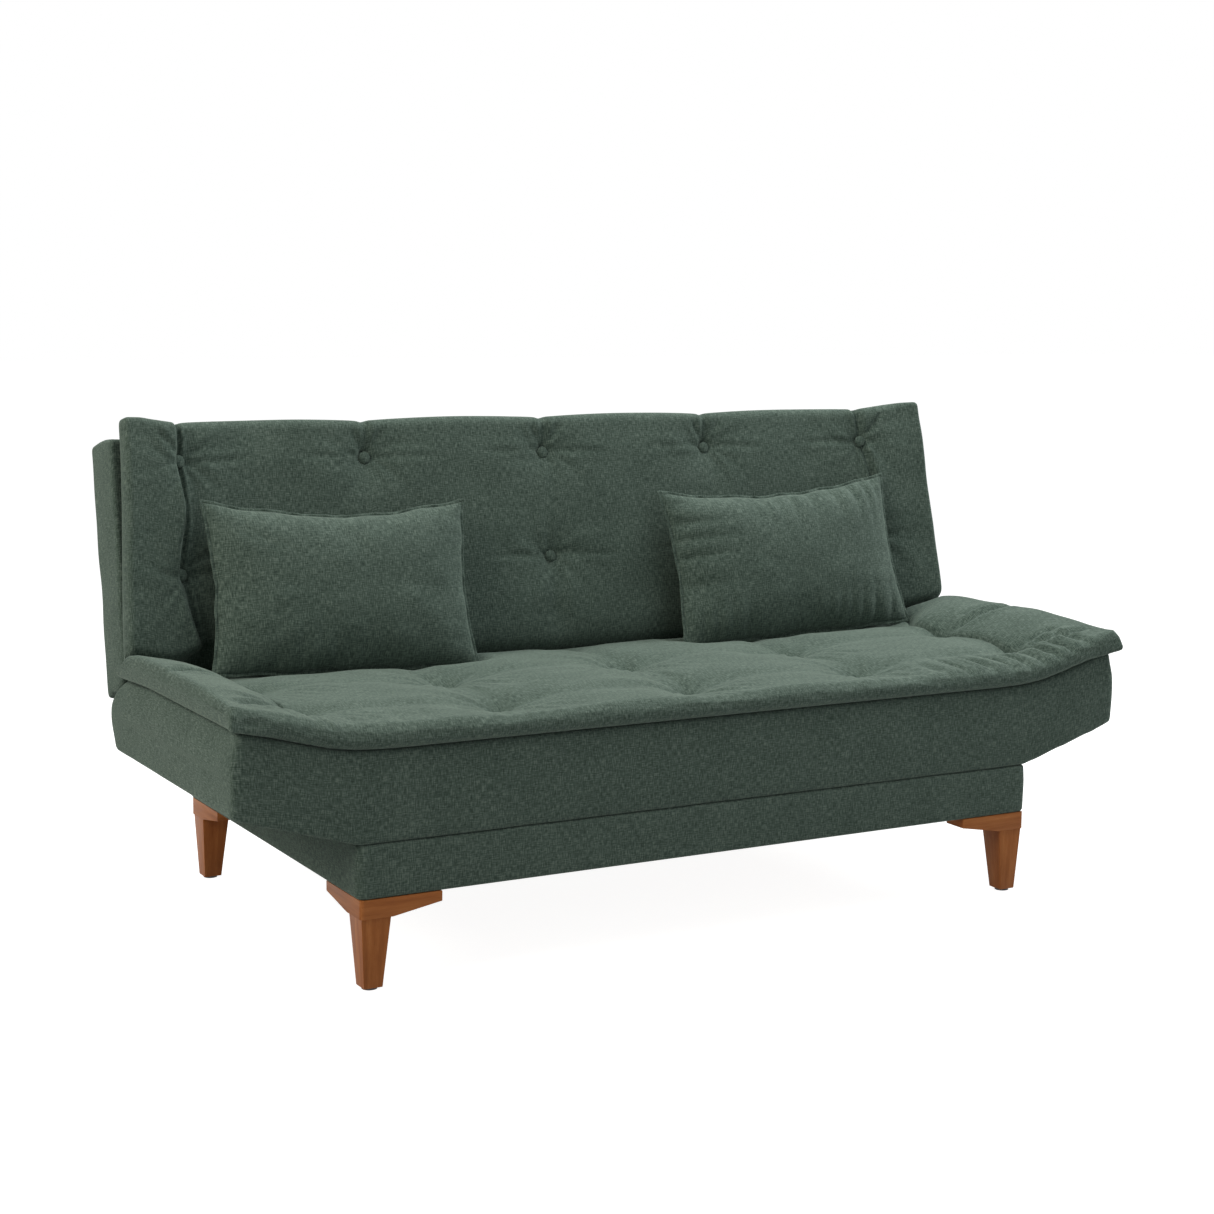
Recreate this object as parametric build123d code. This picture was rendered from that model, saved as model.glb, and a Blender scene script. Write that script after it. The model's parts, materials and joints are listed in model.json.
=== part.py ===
"""Futon sofa bed: a tufted seat and back that click from sofa to bed on a box base with wooden legs.

Millimetres, +Z up, front towards -Y. The seat and the back are two modules of one design. Both are drawn
as they lie in the bed, either side of the click-clack hinge line, and the back is then turned up.
"""
from build123d import *
from math import atan2, cos, degrees, hypot, radians, sin, tan
import os

# Base box
BASE_WIDTH = 1366.0
BASE_DEPTH = 828.0
BASE_HEIGHT = 90.0
BASE_COVER = 6.0
BASE_CORNER_ROUND = 12.0
BASE_EDGE_ROUND = 4.0
BOARD = 18.0
PANEL_THICK = 3.2
BATTEN_WIDTH = 40.0
BATTEN_HEIGHT = 20.0
BATTEN_PLACE = 235.0
BLOCK_SIDE = 50.0

# Legs
LEG_HEIGHT = 154.0
BRACKET_ARM = 145.0
BRACKET_WIDTH = 50.0
BRACKET_HEIGHT = 32.0
BRACKET_TIP = 17.0
BRACKET_LEVEL = 58.0
BRACKET_ROUND = 7.0
POST_TOP = 52.0
POST_FOOT = 33.0
POST_SETBACK = 3.0
FOOT_SETBACK = 10.0
GLIDE_RADIUS = 13.0
GLIDE_HEIGHT = 4.0
LEG_BOLT_RADIUS = 4.0
LEG_BOLT_LENGTH = 84.0

# Upholstered modules
REST_GAP = 0.4
SEAT_WIDTH = 1780.0
SEAT_BODY_HEIGHT = 152.6
BACK_WIDTH = 1764.0
BACK_BODY_HEIGHT = 125.0
BACK_BODY_LENGTH = 458.0
END_RISE = 62.0
CURL_START = 610.0
CURL_RADIUS = 500.0
CURL_ANGLE = 15.0
SKIN = 12.0
DECK = 10.0
SEAT_CORNER_ROUND = 20.0
BACK_TOP_ROUND = 16.0
OPENING_EDGE = 28.0

# Pads
PAD_THICK = 50.0
PAD_GAP = 0.3
PAD_OVERHANG_END = 13.0
PAD_OVERHANG_FRONT = 16.0
PAD_EDGE_ROUND = 15.0
BACK_PAD_LENGTH = 482.0
BACK_PAD_TOP_WIDTH = 1738.0
TUFT_COLUMNS = 5
TUFT_COLUMN_GAP = 375.0
TUFT_ROWS = 2
TUFT_ROW_GAP = 207.0
SEAT_TUFT_FIRST = 258.0
BACK_TUFT_FIRST = 206.0
TUFT_RADIUS = 165.0
TUFT_DEPTH = 22.0
BUTTON_RADIUS = 11.0
BUTTON_RIM = 3.0
BUTTON_DOME = 3.5
BUTTON_SINK = 4.0

# Click-clack hinge
HINGE_Y = 643.0
HINGE_DEPTH = 47.0
RECLINE = 10.5
ROLL_RADIUS = 70.0
ROLL_GAP = 4.0
ROLL_TURN = 30.0
SEAT_HEEL = 72.0
BACK_HEEL = 22.0
WING_SLOPE = 33.0
ARM_PLACE = 652.0
ARM_THICK = 5.0
ARM_RADIUS = 18.0
ARM_REACH = 175.0
ARM_DROP = 56.0
ARM_GAP = 1.5
SLOT_ROOM = 1.0
EYE_ROOM = 3.0
PIN_RADIUS = 5.0
PIN_FIT = 0.05
PIN_HEAD_RADIUS = 9.0
PIN_HEAD = 4.5
DRUM_RADIUS = 17.0
DRUM_LENGTH = 14.0
BOLT_RADIUS = 4.0
BOLT_FIT = 0.1
BOLT_HEAD_RADIUS = 7.0
BOLT_HEAD = 4.0
BOLT_LENGTH = 22.0
BOLT_GAP = 42.0

# Frames inside the modules
FRAME_BOARD = 22.0
FRAME_GAP = 0.3
ARM_RAIL = 28.0
CENTRE_RAIL = 24.0
CAVITY_START = 95.0
RAIL_CLEAR_TOP = 42.0
SPRING_COUNT = 9
SPRING_GAP = 125.0
SPRING_WIRE = 4.0
SPRING_SWING = 22.0
SPRING_BENDS = 13
SPRING_BEND_RADIUS = 8.0
SPRING_LEAD = 14.0
FOAM_THICK = 22.0
FOAM_WIDTH = 1180.0
WEB_COUNT = 9
WEB_GAP = 125.0
WEB_WIDTH = 50.0
WEB_THICK = 2.0
LINING = 1.3

# Lift hinge at the rear of the base
LIFT_SETBACK = 41.0
LIFT_DROP = 16.0
LIFT_ARM_GAP = 1.0
LIFT_ARM_RADIUS = 13.5
LIFT_ARM_FRONT = 60.0
LIFT_FLANGE = 35.0
LIFT_FLANGE_END = 505.0
LIFT_FLANGE_THICK = 4.0
PLATE_LENGTH = 104.0
PLATE_HEIGHT = 61.0
PLATE_CHAMFER = 12.0
PLATE_BOLT_RADIUS = 3.0
PLATE_BOLT_HEAD = 3.5
PLATE_BOLT_HEAD_RADIUS = 5.5
PLATE_BOLT_LENGTH = 14.0
PLATE_BOLT_EDGE = 11.0
PLATE_BOLT_GAP = 36.0
SCREW_RADIUS = 2.5
SCREW_HEAD_RADIUS = 5.0
SCREW_HEAD = 2.5
SCREW_LENGTH = 26.0
SCREW_COUNT = 3
SCREW_GAP = 180.0

# Lumbar cushions
CUSHION_WIDTH = 528.0
CUSHION_HEIGHT = 316.0
CUSHION_THICK = 124.0
CUSHION_FLANGE = 13.0
CUSHION_FLANGE_THICK = 4.0
CUSHION_DRAW_IN = 9.0
CUSHION_TILT = 17.0
CUSHION_ROLL = 3.0
CUSHION_CLEAR = 0.5
CUSHION_LEFT_X = -485.0
CUSHION_RIGHT_X = 498.0

# Levels and lines that follow from the sizes above
BASE_TOP = LEG_HEIGHT + BASE_HEIGHT
SEAT_LOW = BASE_TOP + REST_GAP
BODY_TOP = SEAT_LOW + SEAT_BODY_HEIGHT
BACK_LOW = BODY_TOP - BACK_BODY_HEIGHT
PAD_LOW = BODY_TOP + PAD_GAP
PAD_TOP = PAD_LOW + PAD_THICK
PAD_HALF = SEAT_WIDTH / 2 + PAD_OVERHANG_END
HINGE_Z = PAD_TOP - HINGE_DEPTH
ROLL_U = ROLL_GAP + ROLL_RADIUS
ROLL_Z = PAD_TOP - ROLL_RADIUS
BOAT_FLAT = BASE_WIDTH / 2
BOAT_SLOPE = END_RISE / (SEAT_WIDTH / 2 - BOAT_FLAT)
SEAT_FAR = HINGE_Y
CAVITY_TOP = BODY_TOP - DECK
BACK_ARM_PLACE = ARM_PLACE - ARM_GAP - ARM_THICK
LIFT_Y = BASE_DEPTH - LIFT_SETBACK
LIFT_Z = BASE_TOP - LIFT_DROP
INNER_HALF = BASE_WIDTH / 2 - BASE_COVER - BOARD
INNER_EDGE = BASE_COVER + BOARD
PLATE_PLACE = INNER_HALF - ARM_THICK
LIFT_ARM_PLACE = PLATE_PLACE - LIFT_ARM_GAP - ARM_THICK
PANEL_Z = LEG_HEIGHT + BATTEN_HEIGHT
HINGE_AXIS = Axis((0, HINGE_Y, HINGE_Z), (1, 0, 0))
SEAT_SIDE = -1
BACK_SIDE = 1


def block(x_span, y_span, z_span):
    """A box between pairs of coordinates."""
    low = Vector(x_span[0], y_span[0], z_span[0])
    high = Vector(x_span[1], y_span[1], z_span[1])
    size = high - low
    return Pos((low + high) / 2) * Box(size.X, size.Y, size.Z)


def across(edges, y_span):
    """A solid between two Y planes whose outline is drawn in X and Z."""
    outline = Plane.XZ.offset(-y_span[1]) * make_face(edges)
    return extrude(outline, y_span[1] - y_span[0])


def along(edges, x_span):
    """A solid between two X planes whose outline is drawn in Y and Z."""
    outline = Plane.YZ.offset(x_span[0]) * make_face(edges)
    return extrude(outline, x_span[1] - x_span[0])


def rod(x_span, y, z, radius):
    """A cylinder along X."""
    middle = (x_span[0] + x_span[1]) / 2
    return Pos(middle, y, z) * Rot(0, 90, 0) * Cylinder(radius, x_span[1] - x_span[0])


def upright(x, y, z_span, radius):
    """A cylinder along Z."""
    return Pos(x, y, (z_span[0] + z_span[1]) / 2) * Cylinder(radius, z_span[1] - z_span[0])


def other_side(shape):
    """The same piece at the opposite end of the sofa."""
    return mirror(shape, about=Plane.YZ)


def group(solids):
    """Like solids kept apart in one node."""
    return Compound([item for solid in solids for item in solid.solids()])


def span(side, near, far):
    """The Y range of a module between two distances from the hinge line."""
    ends = (HINGE_Y + side * near, HINGE_Y + side * far)
    return min(ends), max(ends)


def curl_line(level, half):
    """Edges from end to end of a level line that curls up near its ends, and the height of those ends."""
    centre = BODY_TOP + CURL_RADIUS
    radius = centre - level
    turn = radians(CURL_ANGLE)
    bend_end = (CURL_START + radius * sin(turn), centre - radius * cos(turn))
    bend_mid = (CURL_START + radius * sin(turn / 2), centre - radius * cos(turn / 2))
    tip = (half, bend_end[1] + (half - bend_end[0]) * tan(turn))
    edges = [Line((-CURL_START, level), (CURL_START, level))]
    for way in (-1, 1):
        edges.append(ThreePointArc((way * CURL_START, level), (way * bend_mid[0], bend_mid[1]),
                                   (way * bend_end[0], bend_end[1])))
        edges.append(Line((way * bend_end[0], bend_end[1]), (way * tip[0], tip[1])))
    return edges, tip[1]


def boat_section(half, low, top):
    """A boat-shaped outline: flat below with rising ends, and curled up along its upper edge."""
    edges, tip = curl_line(top, half)
    low_tip = low + (half - BOAT_FLAT) * BOAT_SLOPE
    edges.append(Polyline((-half, tip), (-half, low_tip), (-BOAT_FLAT, low),
                          (BOAT_FLAT, low), (half, low_tip), (half, tip)))
    return edges


def pad_section(half):
    """The outline of a pad that follows the curled top of its body."""
    lower, low_tip = curl_line(PAD_LOW, half)
    upper, top_tip = curl_line(PAD_TOP, half)
    ends = [Line((way * half, low_tip), (way * half, top_tip)) for way in (-1, 1)]
    return lower + upper + ends


def module_profile(side, far, heel, low):
    """The outline of a module seen from its end: the roll at the hinge, and a plain far end."""
    def place(distance, height):
        return HINGE_Y + side * distance, height

    turn = radians(ROLL_TURN)
    high = curl_line(PAD_TOP, PAD_HALF)[1] + PAD_THICK
    wing = ROLL_U + (high - PAD_TOP) / tan(radians(WING_SLOPE))
    slant = radians(45)
    roll_top = place(ROLL_U, PAD_TOP)
    roll_mid = place(ROLL_U - ROLL_RADIUS * cos(slant), ROLL_Z + ROLL_RADIUS * sin(slant))
    roll_end = place(ROLL_U - ROLL_RADIUS * cos(turn), ROLL_Z - ROLL_RADIUS * sin(turn))
    return [Line(place(wing, high), roll_top),
            ThreePointArc(roll_top, roll_mid, roll_end),
            Polyline(roll_end, place(heel, low), place(far, low), place(far, high), place(wing, high))]


def stadium(side, radius, x_span):
    """A bar with round ends from the hinge line to the far end of a click-clack arm."""
    middle = (HINGE_Y + side * ARM_REACH / 2, HINGE_Z - ARM_DROP / 2)
    tilt = degrees(atan2(-ARM_DROP, side * ARM_REACH))
    shape = Pos(*middle) * Rot(0, 0, tilt) * SlotCenterToCenter(hypot(ARM_REACH, ARM_DROP), 2 * radius)
    return extrude(Plane.YZ.offset(x_span[0]) * shape, x_span[1] - x_span[0])


def arm_bolt_places(side):
    """The two bolt places of a click-clack arm, as Y and Z."""
    reach = hypot(ARM_REACH, ARM_DROP)
    places = []
    for distance in (reach, reach - BOLT_GAP):
        share = distance / reach
        places.append((HINGE_Y + side * ARM_REACH * share, HINGE_Z - ARM_DROP * share))
    return places


def both_ends(solid):
    """A solid with its twin at the other end, joined for one cut."""
    return solid + other_side(solid)


def hinge_room():
    """The space that the hinge eyes, drum and pin turn in, at one end."""
    inner = BACK_ARM_PLACE - DRUM_LENGTH - EYE_ROOM
    outer = ARM_PLACE + ARM_THICK + PIN_HEAD + EYE_ROOM
    return rod((inner, outer), HINGE_Y, HINGE_Z, ARM_RADIUS + EYE_ROOM)


def arm_slot(side, place):
    """The slot that an arm and its bolt heads need through the upholstery and the near rail, at one end."""
    outer = place + ARM_THICK + BOLT_HEAD + SLOT_ROOM
    return stadium(side, ARM_RADIUS + SLOT_ROOM, (place - SLOT_ROOM / 2, outer))


def module_opening(side, far, low):
    """The opening through the underside of a module, which its lining closes."""
    half = BOAT_FLAT - OPENING_EDGE
    return block((-half, half), span(side, CAVITY_START + OPENING_EDGE, far - SKIN - OPENING_EDGE),
                 (low - SKIN, low + 2 * SKIN))


def upholstered_body(side, far, width, low, heel, arm_place):
    """A foam-wrapped module body with a hollow for its frame and slots for its hinge arms."""
    half = width / 2
    body = across(boat_section(half, low, BODY_TOP), span(side, 0, far))
    body = body & along(module_profile(side, far, heel, low), (-half, half))
    far_face = body.faces().sort_by(Axis.Y)[0 if side == SEAT_SIDE else -1]
    if side == SEAT_SIDE:
        body = fillet(far_face.edges().filter_by(Axis.Z), SEAT_CORNER_ROUND)
    else:
        body = fillet(far_face.edges().filter_by(Axis.Z), BACK_TOP_ROUND)
    body -= across(boat_section(half - SKIN, low + SKIN, CAVITY_TOP), span(side, CAVITY_START, far - SKIN))
    body -= module_opening(side, far, low)
    return body - both_ends(hinge_room()) - both_ends(arm_slot(side, arm_place))


def frame_stock(side, far, width, low):
    """The solid space inside a module that its frame boards are cut from."""
    section = boat_section(width / 2 - SKIN - FRAME_GAP, low + SKIN + FRAME_GAP, CAVITY_TOP - FRAME_GAP)
    return across(section, span(side, CAVITY_START + FRAME_GAP, far - SKIN - FRAME_GAP))


def module_frame(side, far, width, low, arm_place, prefix, near_name, far_name):
    """The frame boards of a module: near and far rails, two end rails, two arm rails and a centre rail."""
    stock = frame_stock(side, far, width, low)
    half = width / 2
    near = CAVITY_START + FRAME_GAP
    last = far - SKIN - FRAME_GAP
    wide = (-width, width)
    tall = (0, BODY_TOP + CURL_RADIUS)
    inside = span(side, near + FRAME_BOARD, last - FRAME_BOARD)
    low_rails = (0, CAVITY_TOP - RAIL_CLEAR_TOP)
    end_from = half - SKIN - FRAME_GAP - FRAME_BOARD
    bolts = [rod((arm_place - BOLT_LENGTH, arm_place), y, z, BOLT_RADIUS + BOLT_FIT)
             for y, z in arm_bolt_places(side)]
    near_rail = stock & block(wide, span(side, near, near + FRAME_BOARD), tall)
    arm_rail = stock & block((arm_place - ARM_RAIL, arm_place), inside, low_rails)
    for bolt in bolts:
        arm_rail -= bolt
    if side == SEAT_SIDE:
        for screw in lift_screws():
            arm_rail -= upright(screw[0], screw[1], (SEAT_LOW, screw[2] + SCREW_LENGTH), SCREW_RADIUS + BOLT_FIT)
    end_rail = stock & block((end_from, half), inside, tall)
    return {
        prefix + near_name: near_rail - both_ends(arm_slot(side, arm_place)),
        prefix + far_name: stock & block(wide, span(side, last - FRAME_BOARD, last), tall),
        prefix + "_right_end_rail": end_rail,
        prefix + "_left_end_rail": other_side(end_rail),
        prefix + "_arm_rails": group([arm_rail, other_side(arm_rail)]),
        prefix + "_centre_rail": stock & block((-CENTRE_RAIL / 2, CENTRE_RAIL / 2), inside, low_rails),
    }


def module_lining(side, far, low, depth):
    """The cloth that closes the underside of a module, lying at a given depth inside the opening."""
    half = BOAT_FLAT - OPENING_EDGE - FRAME_GAP
    near = CAVITY_START + OPENING_EDGE + FRAME_GAP
    return block((-half, half), span(side, near, far - SKIN - OPENING_EDGE - FRAME_GAP),
                 (low + depth - LINING, low + depth))


def support_layer(side, far):
    """The Y range, and the height under the foam, of the springs or webbing between two frame rails."""
    clear = FRAME_GAP + FRAME_BOARD
    return span(side, CAVITY_START + clear, far - SKIN - clear), CAVITY_TOP - FRAME_GAP - FOAM_THICK


def foam_slab(side, far):
    """The foam between the springs or webbing and the deck."""
    reach, under = support_layer(side, far)
    return block((-FOAM_WIDTH / 2, FOAM_WIDTH / 2), (reach[0] + FRAME_GAP, reach[1] - FRAME_GAP),
                 (under, under + FOAM_THICK))


def sinuous_springs():
    """Zigzag springs of square wire, hooked between the seat's front and rear rails."""
    reach, top = support_layer(SEAT_SIDE, SEAT_FAR)
    step = (reach[1] - reach[0] - 2 * SPRING_LEAD) / (SPRING_BENDS + 1)
    level = top - SPRING_WIRE / 2
    springs = []
    for number in range(SPRING_COUNT):
        x = (number - (SPRING_COUNT - 1) / 2) * SPRING_GAP
        bends = [(x + SPRING_SWING * (-1) ** bend, reach[0] + SPRING_LEAD + bend * step, level)
                 for bend in range(1, SPRING_BENDS + 1)]
        lead_in = [(x, reach[0], level), (x, reach[0] + SPRING_LEAD, level)]
        lead_out = [(x, reach[1] - SPRING_LEAD, level), (x, reach[1], level)]
        route = FilletPolyline(*lead_in, *bends, *lead_out, radius=SPRING_BEND_RADIUS)
        wire = Plane(origin=route @ 0, z_dir=route % 0) * Rectangle(SPRING_WIRE, SPRING_WIRE)
        springs.append(sweep(wire, path=route))
    return group(springs)


def back_webbing():
    """Elastic bands stretched between the back's lower and upper rails."""
    reach, top = support_layer(BACK_SIDE, BACK_BODY_LENGTH)
    bands = []
    for number in range(WEB_COUNT):
        x = (number - (WEB_COUNT - 1) / 2) * WEB_GAP
        bands.append(block((x - WEB_WIDTH / 2, x + WEB_WIDTH / 2), reach, (top - WEB_THICK, top)))
    return group(bands)


def pad_surface(x):
    """Height and sideways slope of a pad's upper face, in degrees."""
    centre = BODY_TOP + CURL_RADIUS
    radius = centre - PAD_TOP
    turn = radians(CURL_ANGLE)
    past = abs(x) - CURL_START
    if past <= 0:
        return PAD_TOP, 0.0
    lean = -CURL_ANGLE if x > 0 else CURL_ANGLE
    bend = radius * sin(turn)
    return centre - radius * cos(turn) + (past - bend) * tan(turn), lean


def tuft_frames(side, first):
    """Places on a pad's upper face where it is sewn down, each with local Z along the surface normal."""
    frames = []
    for column in range(TUFT_COLUMNS):
        x = (column - (TUFT_COLUMNS - 1) / 2) * TUFT_COLUMN_GAP
        height, lean = pad_surface(x)
        for row in range(TUFT_ROWS):
            y = HINGE_Y + side * (first + row * TUFT_ROW_GAP)
            frames.append(Pos(x, y, height) * Rot(0, lean, 0))
    return frames


def tufted_pad(side, far, near_half, far_half, heel, first):
    """A pad with a rolled hinge edge, rounded far and side edges, and sewn tufts."""
    low = PAD_LOW - PAD_THICK
    half = max(near_half, far_half)
    plan = Polyline((-near_half, HINGE_Y), (-far_half, HINGE_Y + side * far),
                    (far_half, HINGE_Y + side * far), (near_half, HINGE_Y), close=True)
    pad = across(pad_section(half), span(side, 0, far))
    pad = pad & along(module_profile(side, far, heel, low), (-half, half))
    pad = pad & extrude(Pos(0, 0, low) * make_face(plan), 2 * CURL_RADIUS)
    far_face = pad.faces().sort_by(Axis.Y)[0 if side == SEAT_SIDE else -1]
    sides = pad.faces().sort_by(Axis.X)
    rims = far_face.edges() + sides[0].edges().sort_by(Axis.Z)[-1:] + sides[-1].edges().sort_by(Axis.Z)[-1:]
    pad = fillet(rims, PAD_EDGE_ROUND)
    for frame in tuft_frames(side, first):
        pad -= frame * Pos(0, 0, TUFT_RADIUS - TUFT_DEPTH) * Sphere(TUFT_RADIUS)
    return pad


def covered_button():
    """A fabric-covered button: a short rim with a domed top, standing on local Z = 0."""
    height = BUTTON_RIM + BUTTON_DOME
    dome_radius = (BUTTON_RADIUS ** 2 + BUTTON_DOME ** 2) / (2 * BUTTON_DOME)
    blank = Pos(0, 0, height / 2) * Cylinder(BUTTON_RADIUS, height)
    return blank & Pos(0, 0, height - dome_radius) * Sphere(dome_radius)


def back_pad_and_buttons():
    """The back pad with a pocket at each tuft, and the buttons seated in those pockets."""
    pad = tufted_pad(BACK_SIDE, BACK_PAD_LENGTH, BACK_WIDTH / 2 + PAD_OVERHANG_END,
                     BACK_PAD_TOP_WIDTH / 2, BACK_HEEL, BACK_TUFT_FIRST)
    seat_depth = TUFT_DEPTH + BUTTON_SINK
    buttons = []
    for frame in tuft_frames(BACK_SIDE, BACK_TUFT_FIRST):
        pocket = Cylinder(BUTTON_RADIUS + FRAME_GAP, seat_depth)
        pad -= frame * Pos(0, 0, -seat_depth / 2) * pocket
        buttons.append(frame * Pos(0, 0, -seat_depth) * covered_button())
    return pad - both_ends(hinge_room()) - both_ends(arm_slot(BACK_SIDE, BACK_ARM_PLACE)), group(buttons)


def hinge_arm(side, place):
    """A click-clack arm: a steel bar with a pin eye and two bolt holes."""
    arm = stadium(side, ARM_RADIUS, (place, place + ARM_THICK))
    around = (place - ARM_THICK, place + 2 * ARM_THICK)
    arm -= rod(around, HINGE_Y, HINGE_Z, PIN_RADIUS + PIN_FIT)
    for y, z in arm_bolt_places(side):
        arm -= rod(around, y, z, BOLT_RADIUS + BOLT_FIT)
    return arm


def arm_bolts(side, place):
    """The bolts that hold the two arms of a module to its arm rails."""
    bolts = []
    face = place + ARM_THICK
    for y, z in arm_bolt_places(side):
        bolt = rod((place - BOLT_LENGTH, face), y, z, BOLT_RADIUS)
        bolt += rod((face, face + BOLT_HEAD), y, z, BOLT_HEAD_RADIUS)
        bolts += [bolt, other_side(bolt)]
    return group(bolts)


def hinge_pins():
    """The headed pins that join the seat arms to the back arms and pass through the ratchet drums."""
    face = ARM_PLACE + ARM_THICK
    pin = rod((BACK_ARM_PLACE - DRUM_LENGTH, face), HINGE_Y, HINGE_Z, PIN_RADIUS)
    pin += rod((face, face + PIN_HEAD), HINGE_Y, HINGE_Z, PIN_HEAD_RADIUS)
    return group([pin, other_side(pin)])


def ratchet_drums():
    """The closed drums beside the back arms that hold the click-clack ratchets."""
    drum = rod((BACK_ARM_PLACE - DRUM_LENGTH, BACK_ARM_PLACE), HINGE_Y, HINGE_Z, DRUM_RADIUS)
    drum = fillet(drum.faces().sort_by(Axis.X)[0].edges(), ARM_GAP)
    drum -= rod((0, SEAT_WIDTH), HINGE_Y, HINGE_Z, PIN_RADIUS + PIN_FIT)
    return group([drum, other_side(drum)])


def lift_screws():
    """Places of one lift arm's screws: X, Y and the underside of its flange."""
    x = LIFT_ARM_PLACE + ARM_THICK - LIFT_FLANGE / 2
    middle = (LIFT_ARM_FRONT + LIFT_FLANGE_END) / 2
    under = SEAT_LOW + SKIN - LINING - LIFT_FLANGE_THICK
    return [(x, middle + (number - (SCREW_COUNT - 1) / 2) * SCREW_GAP, under) for number in range(SCREW_COUNT)]


def lift_arm():
    """The steel angle under one end of the seat, with an eye at the rear of the base."""
    outer = LIFT_ARM_PLACE + ARM_THICK
    top = SEAT_LOW + SKIN - LINING
    thick = (LIFT_ARM_PLACE, outer)
    start = LIFT_ARM_FRONT + LIFT_ARM_RADIUS
    bar_low = LIFT_Z - LIFT_ARM_RADIUS
    arm = block(thick, (LIFT_ARM_FRONT, LIFT_Y), (bar_low, LIFT_Z + LIFT_ARM_RADIUS))
    arm += rod(thick, LIFT_Y, LIFT_Z, LIFT_ARM_RADIUS)
    arm += block(thick, (LIFT_ARM_FRONT, LIFT_FLANGE_END), (LIFT_Z, top))
    arm += block((outer - LIFT_FLANGE, outer), (LIFT_ARM_FRONT, LIFT_FLANGE_END), (top - LIFT_FLANGE_THICK, top))
    arm -= rod((LIFT_ARM_PLACE - ARM_THICK, outer + ARM_THICK), LIFT_Y, LIFT_Z, PIN_RADIUS + PIN_FIT)
    arm -= rod((LIFT_ARM_PLACE - ARM_THICK, outer + ARM_THICK), start, LIFT_Z, PIN_RADIUS)
    for x, y, under in lift_screws():
        arm -= upright(x, y, (under - SKIN, under + 2 * SKIN), SCREW_RADIUS + BOLT_FIT)
    return arm


def lift_arm_screws():
    """The screws up through the lift arms' flanges and the lining into the arm rails."""
    screws = []
    for x, y, under in lift_screws():
        screw = upright(x, y, (under, under + SCREW_LENGTH), SCREW_RADIUS)
        screw += upright(x, y, (under - SCREW_HEAD, under), SCREW_HEAD_RADIUS)
        screws += [screw, other_side(screw)]
    return group(screws)


def seat_lining():
    """The lining under the seat, with holes for the lift arms' screws."""
    lining = module_lining(SEAT_SIDE, SEAT_FAR, SEAT_LOW, SKIN)
    for x, y, under in lift_screws():
        lining -= both_ends(upright(x, y, (under, under + 2 * SKIN), SCREW_RADIUS + BOLT_FIT))
    return lining


def plate_bolt_places():
    """Places of a lift plate's bolts along its lower edge, as Y and Z."""
    middle = BASE_DEPTH - INNER_EDGE - PLATE_LENGTH / 2
    low = BASE_TOP - REST_GAP - PLATE_HEIGHT + PLATE_BOLT_EDGE
    return [(middle + step * PLATE_BOLT_GAP, low) for step in (-1, 0, 1)]


def lift_plate():
    """The steel plate inside one side rail that carries the lift pin."""
    rear = BASE_DEPTH - INNER_EDGE - FRAME_GAP
    front = rear - PLATE_LENGTH
    top = BASE_TOP - REST_GAP
    low = top - PLATE_HEIGHT
    outline = Polyline((front, low), (rear, low), (rear, top), (front + PLATE_CHAMFER, top),
                       (front, top - PLATE_CHAMFER), close=True)
    plate = along(outline, (PLATE_PLACE, PLATE_PLACE + ARM_THICK))
    around = (PLATE_PLACE - ARM_THICK, PLATE_PLACE + 2 * ARM_THICK)
    plate -= rod(around, LIFT_Y, LIFT_Z, PIN_RADIUS + PIN_FIT)
    for y, z in plate_bolt_places():
        plate -= rod(around, y, z, PLATE_BOLT_RADIUS + BOLT_FIT)
    return plate


def lift_plate_bolts():
    """The bolts that hold the lift plates to the side rails."""
    bolts = []
    for y, z in plate_bolt_places():
        bolt = rod((PLATE_PLACE, INNER_HALF + PLATE_BOLT_LENGTH), y, z, PLATE_BOLT_RADIUS)
        bolt += rod((PLATE_PLACE - PLATE_BOLT_HEAD, PLATE_PLACE), y, z, PLATE_BOLT_HEAD_RADIUS)
        bolts += [bolt, other_side(bolt)]
    return group(bolts)


def lift_pins():
    """The headed pins that the lift arms turn on."""
    face = LIFT_ARM_PLACE - FRAME_GAP
    pin = rod((face, INNER_HALF), LIFT_Y, LIFT_Z, PIN_RADIUS)
    pin += rod((face - PIN_HEAD, face), LIFT_Y, LIFT_Z, PIN_HEAD_RADIUS)
    return group([pin, other_side(pin)])


def four_corners(shape):
    """A leg piece drawn at the front left corner, by corner name."""
    rear = mirror(shape, about=Plane.XZ.offset(-BASE_DEPTH / 2))
    return {"front_left": shape, "front_right": other_side(shape),
            "rear_left": rear, "rear_right": other_side(rear)}


def leg_centre():
    """The plan centre of the top of the front left leg post."""
    inset = POST_SETBACK + POST_TOP / 2
    return -BASE_WIDTH / 2 + inset, inset


def leg_bolt_span():
    """The height range of a leg bolt, which ends in its corner block."""
    top = PANEL_Z - FRAME_GAP
    return top - LEG_BOLT_LENGTH, top


def leg_bolt(room=0.0):
    """The bolt up through the front left post and bracket into the corner block."""
    return upright(*leg_centre(), leg_bolt_span(), LEG_BOLT_RADIUS + room)


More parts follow.
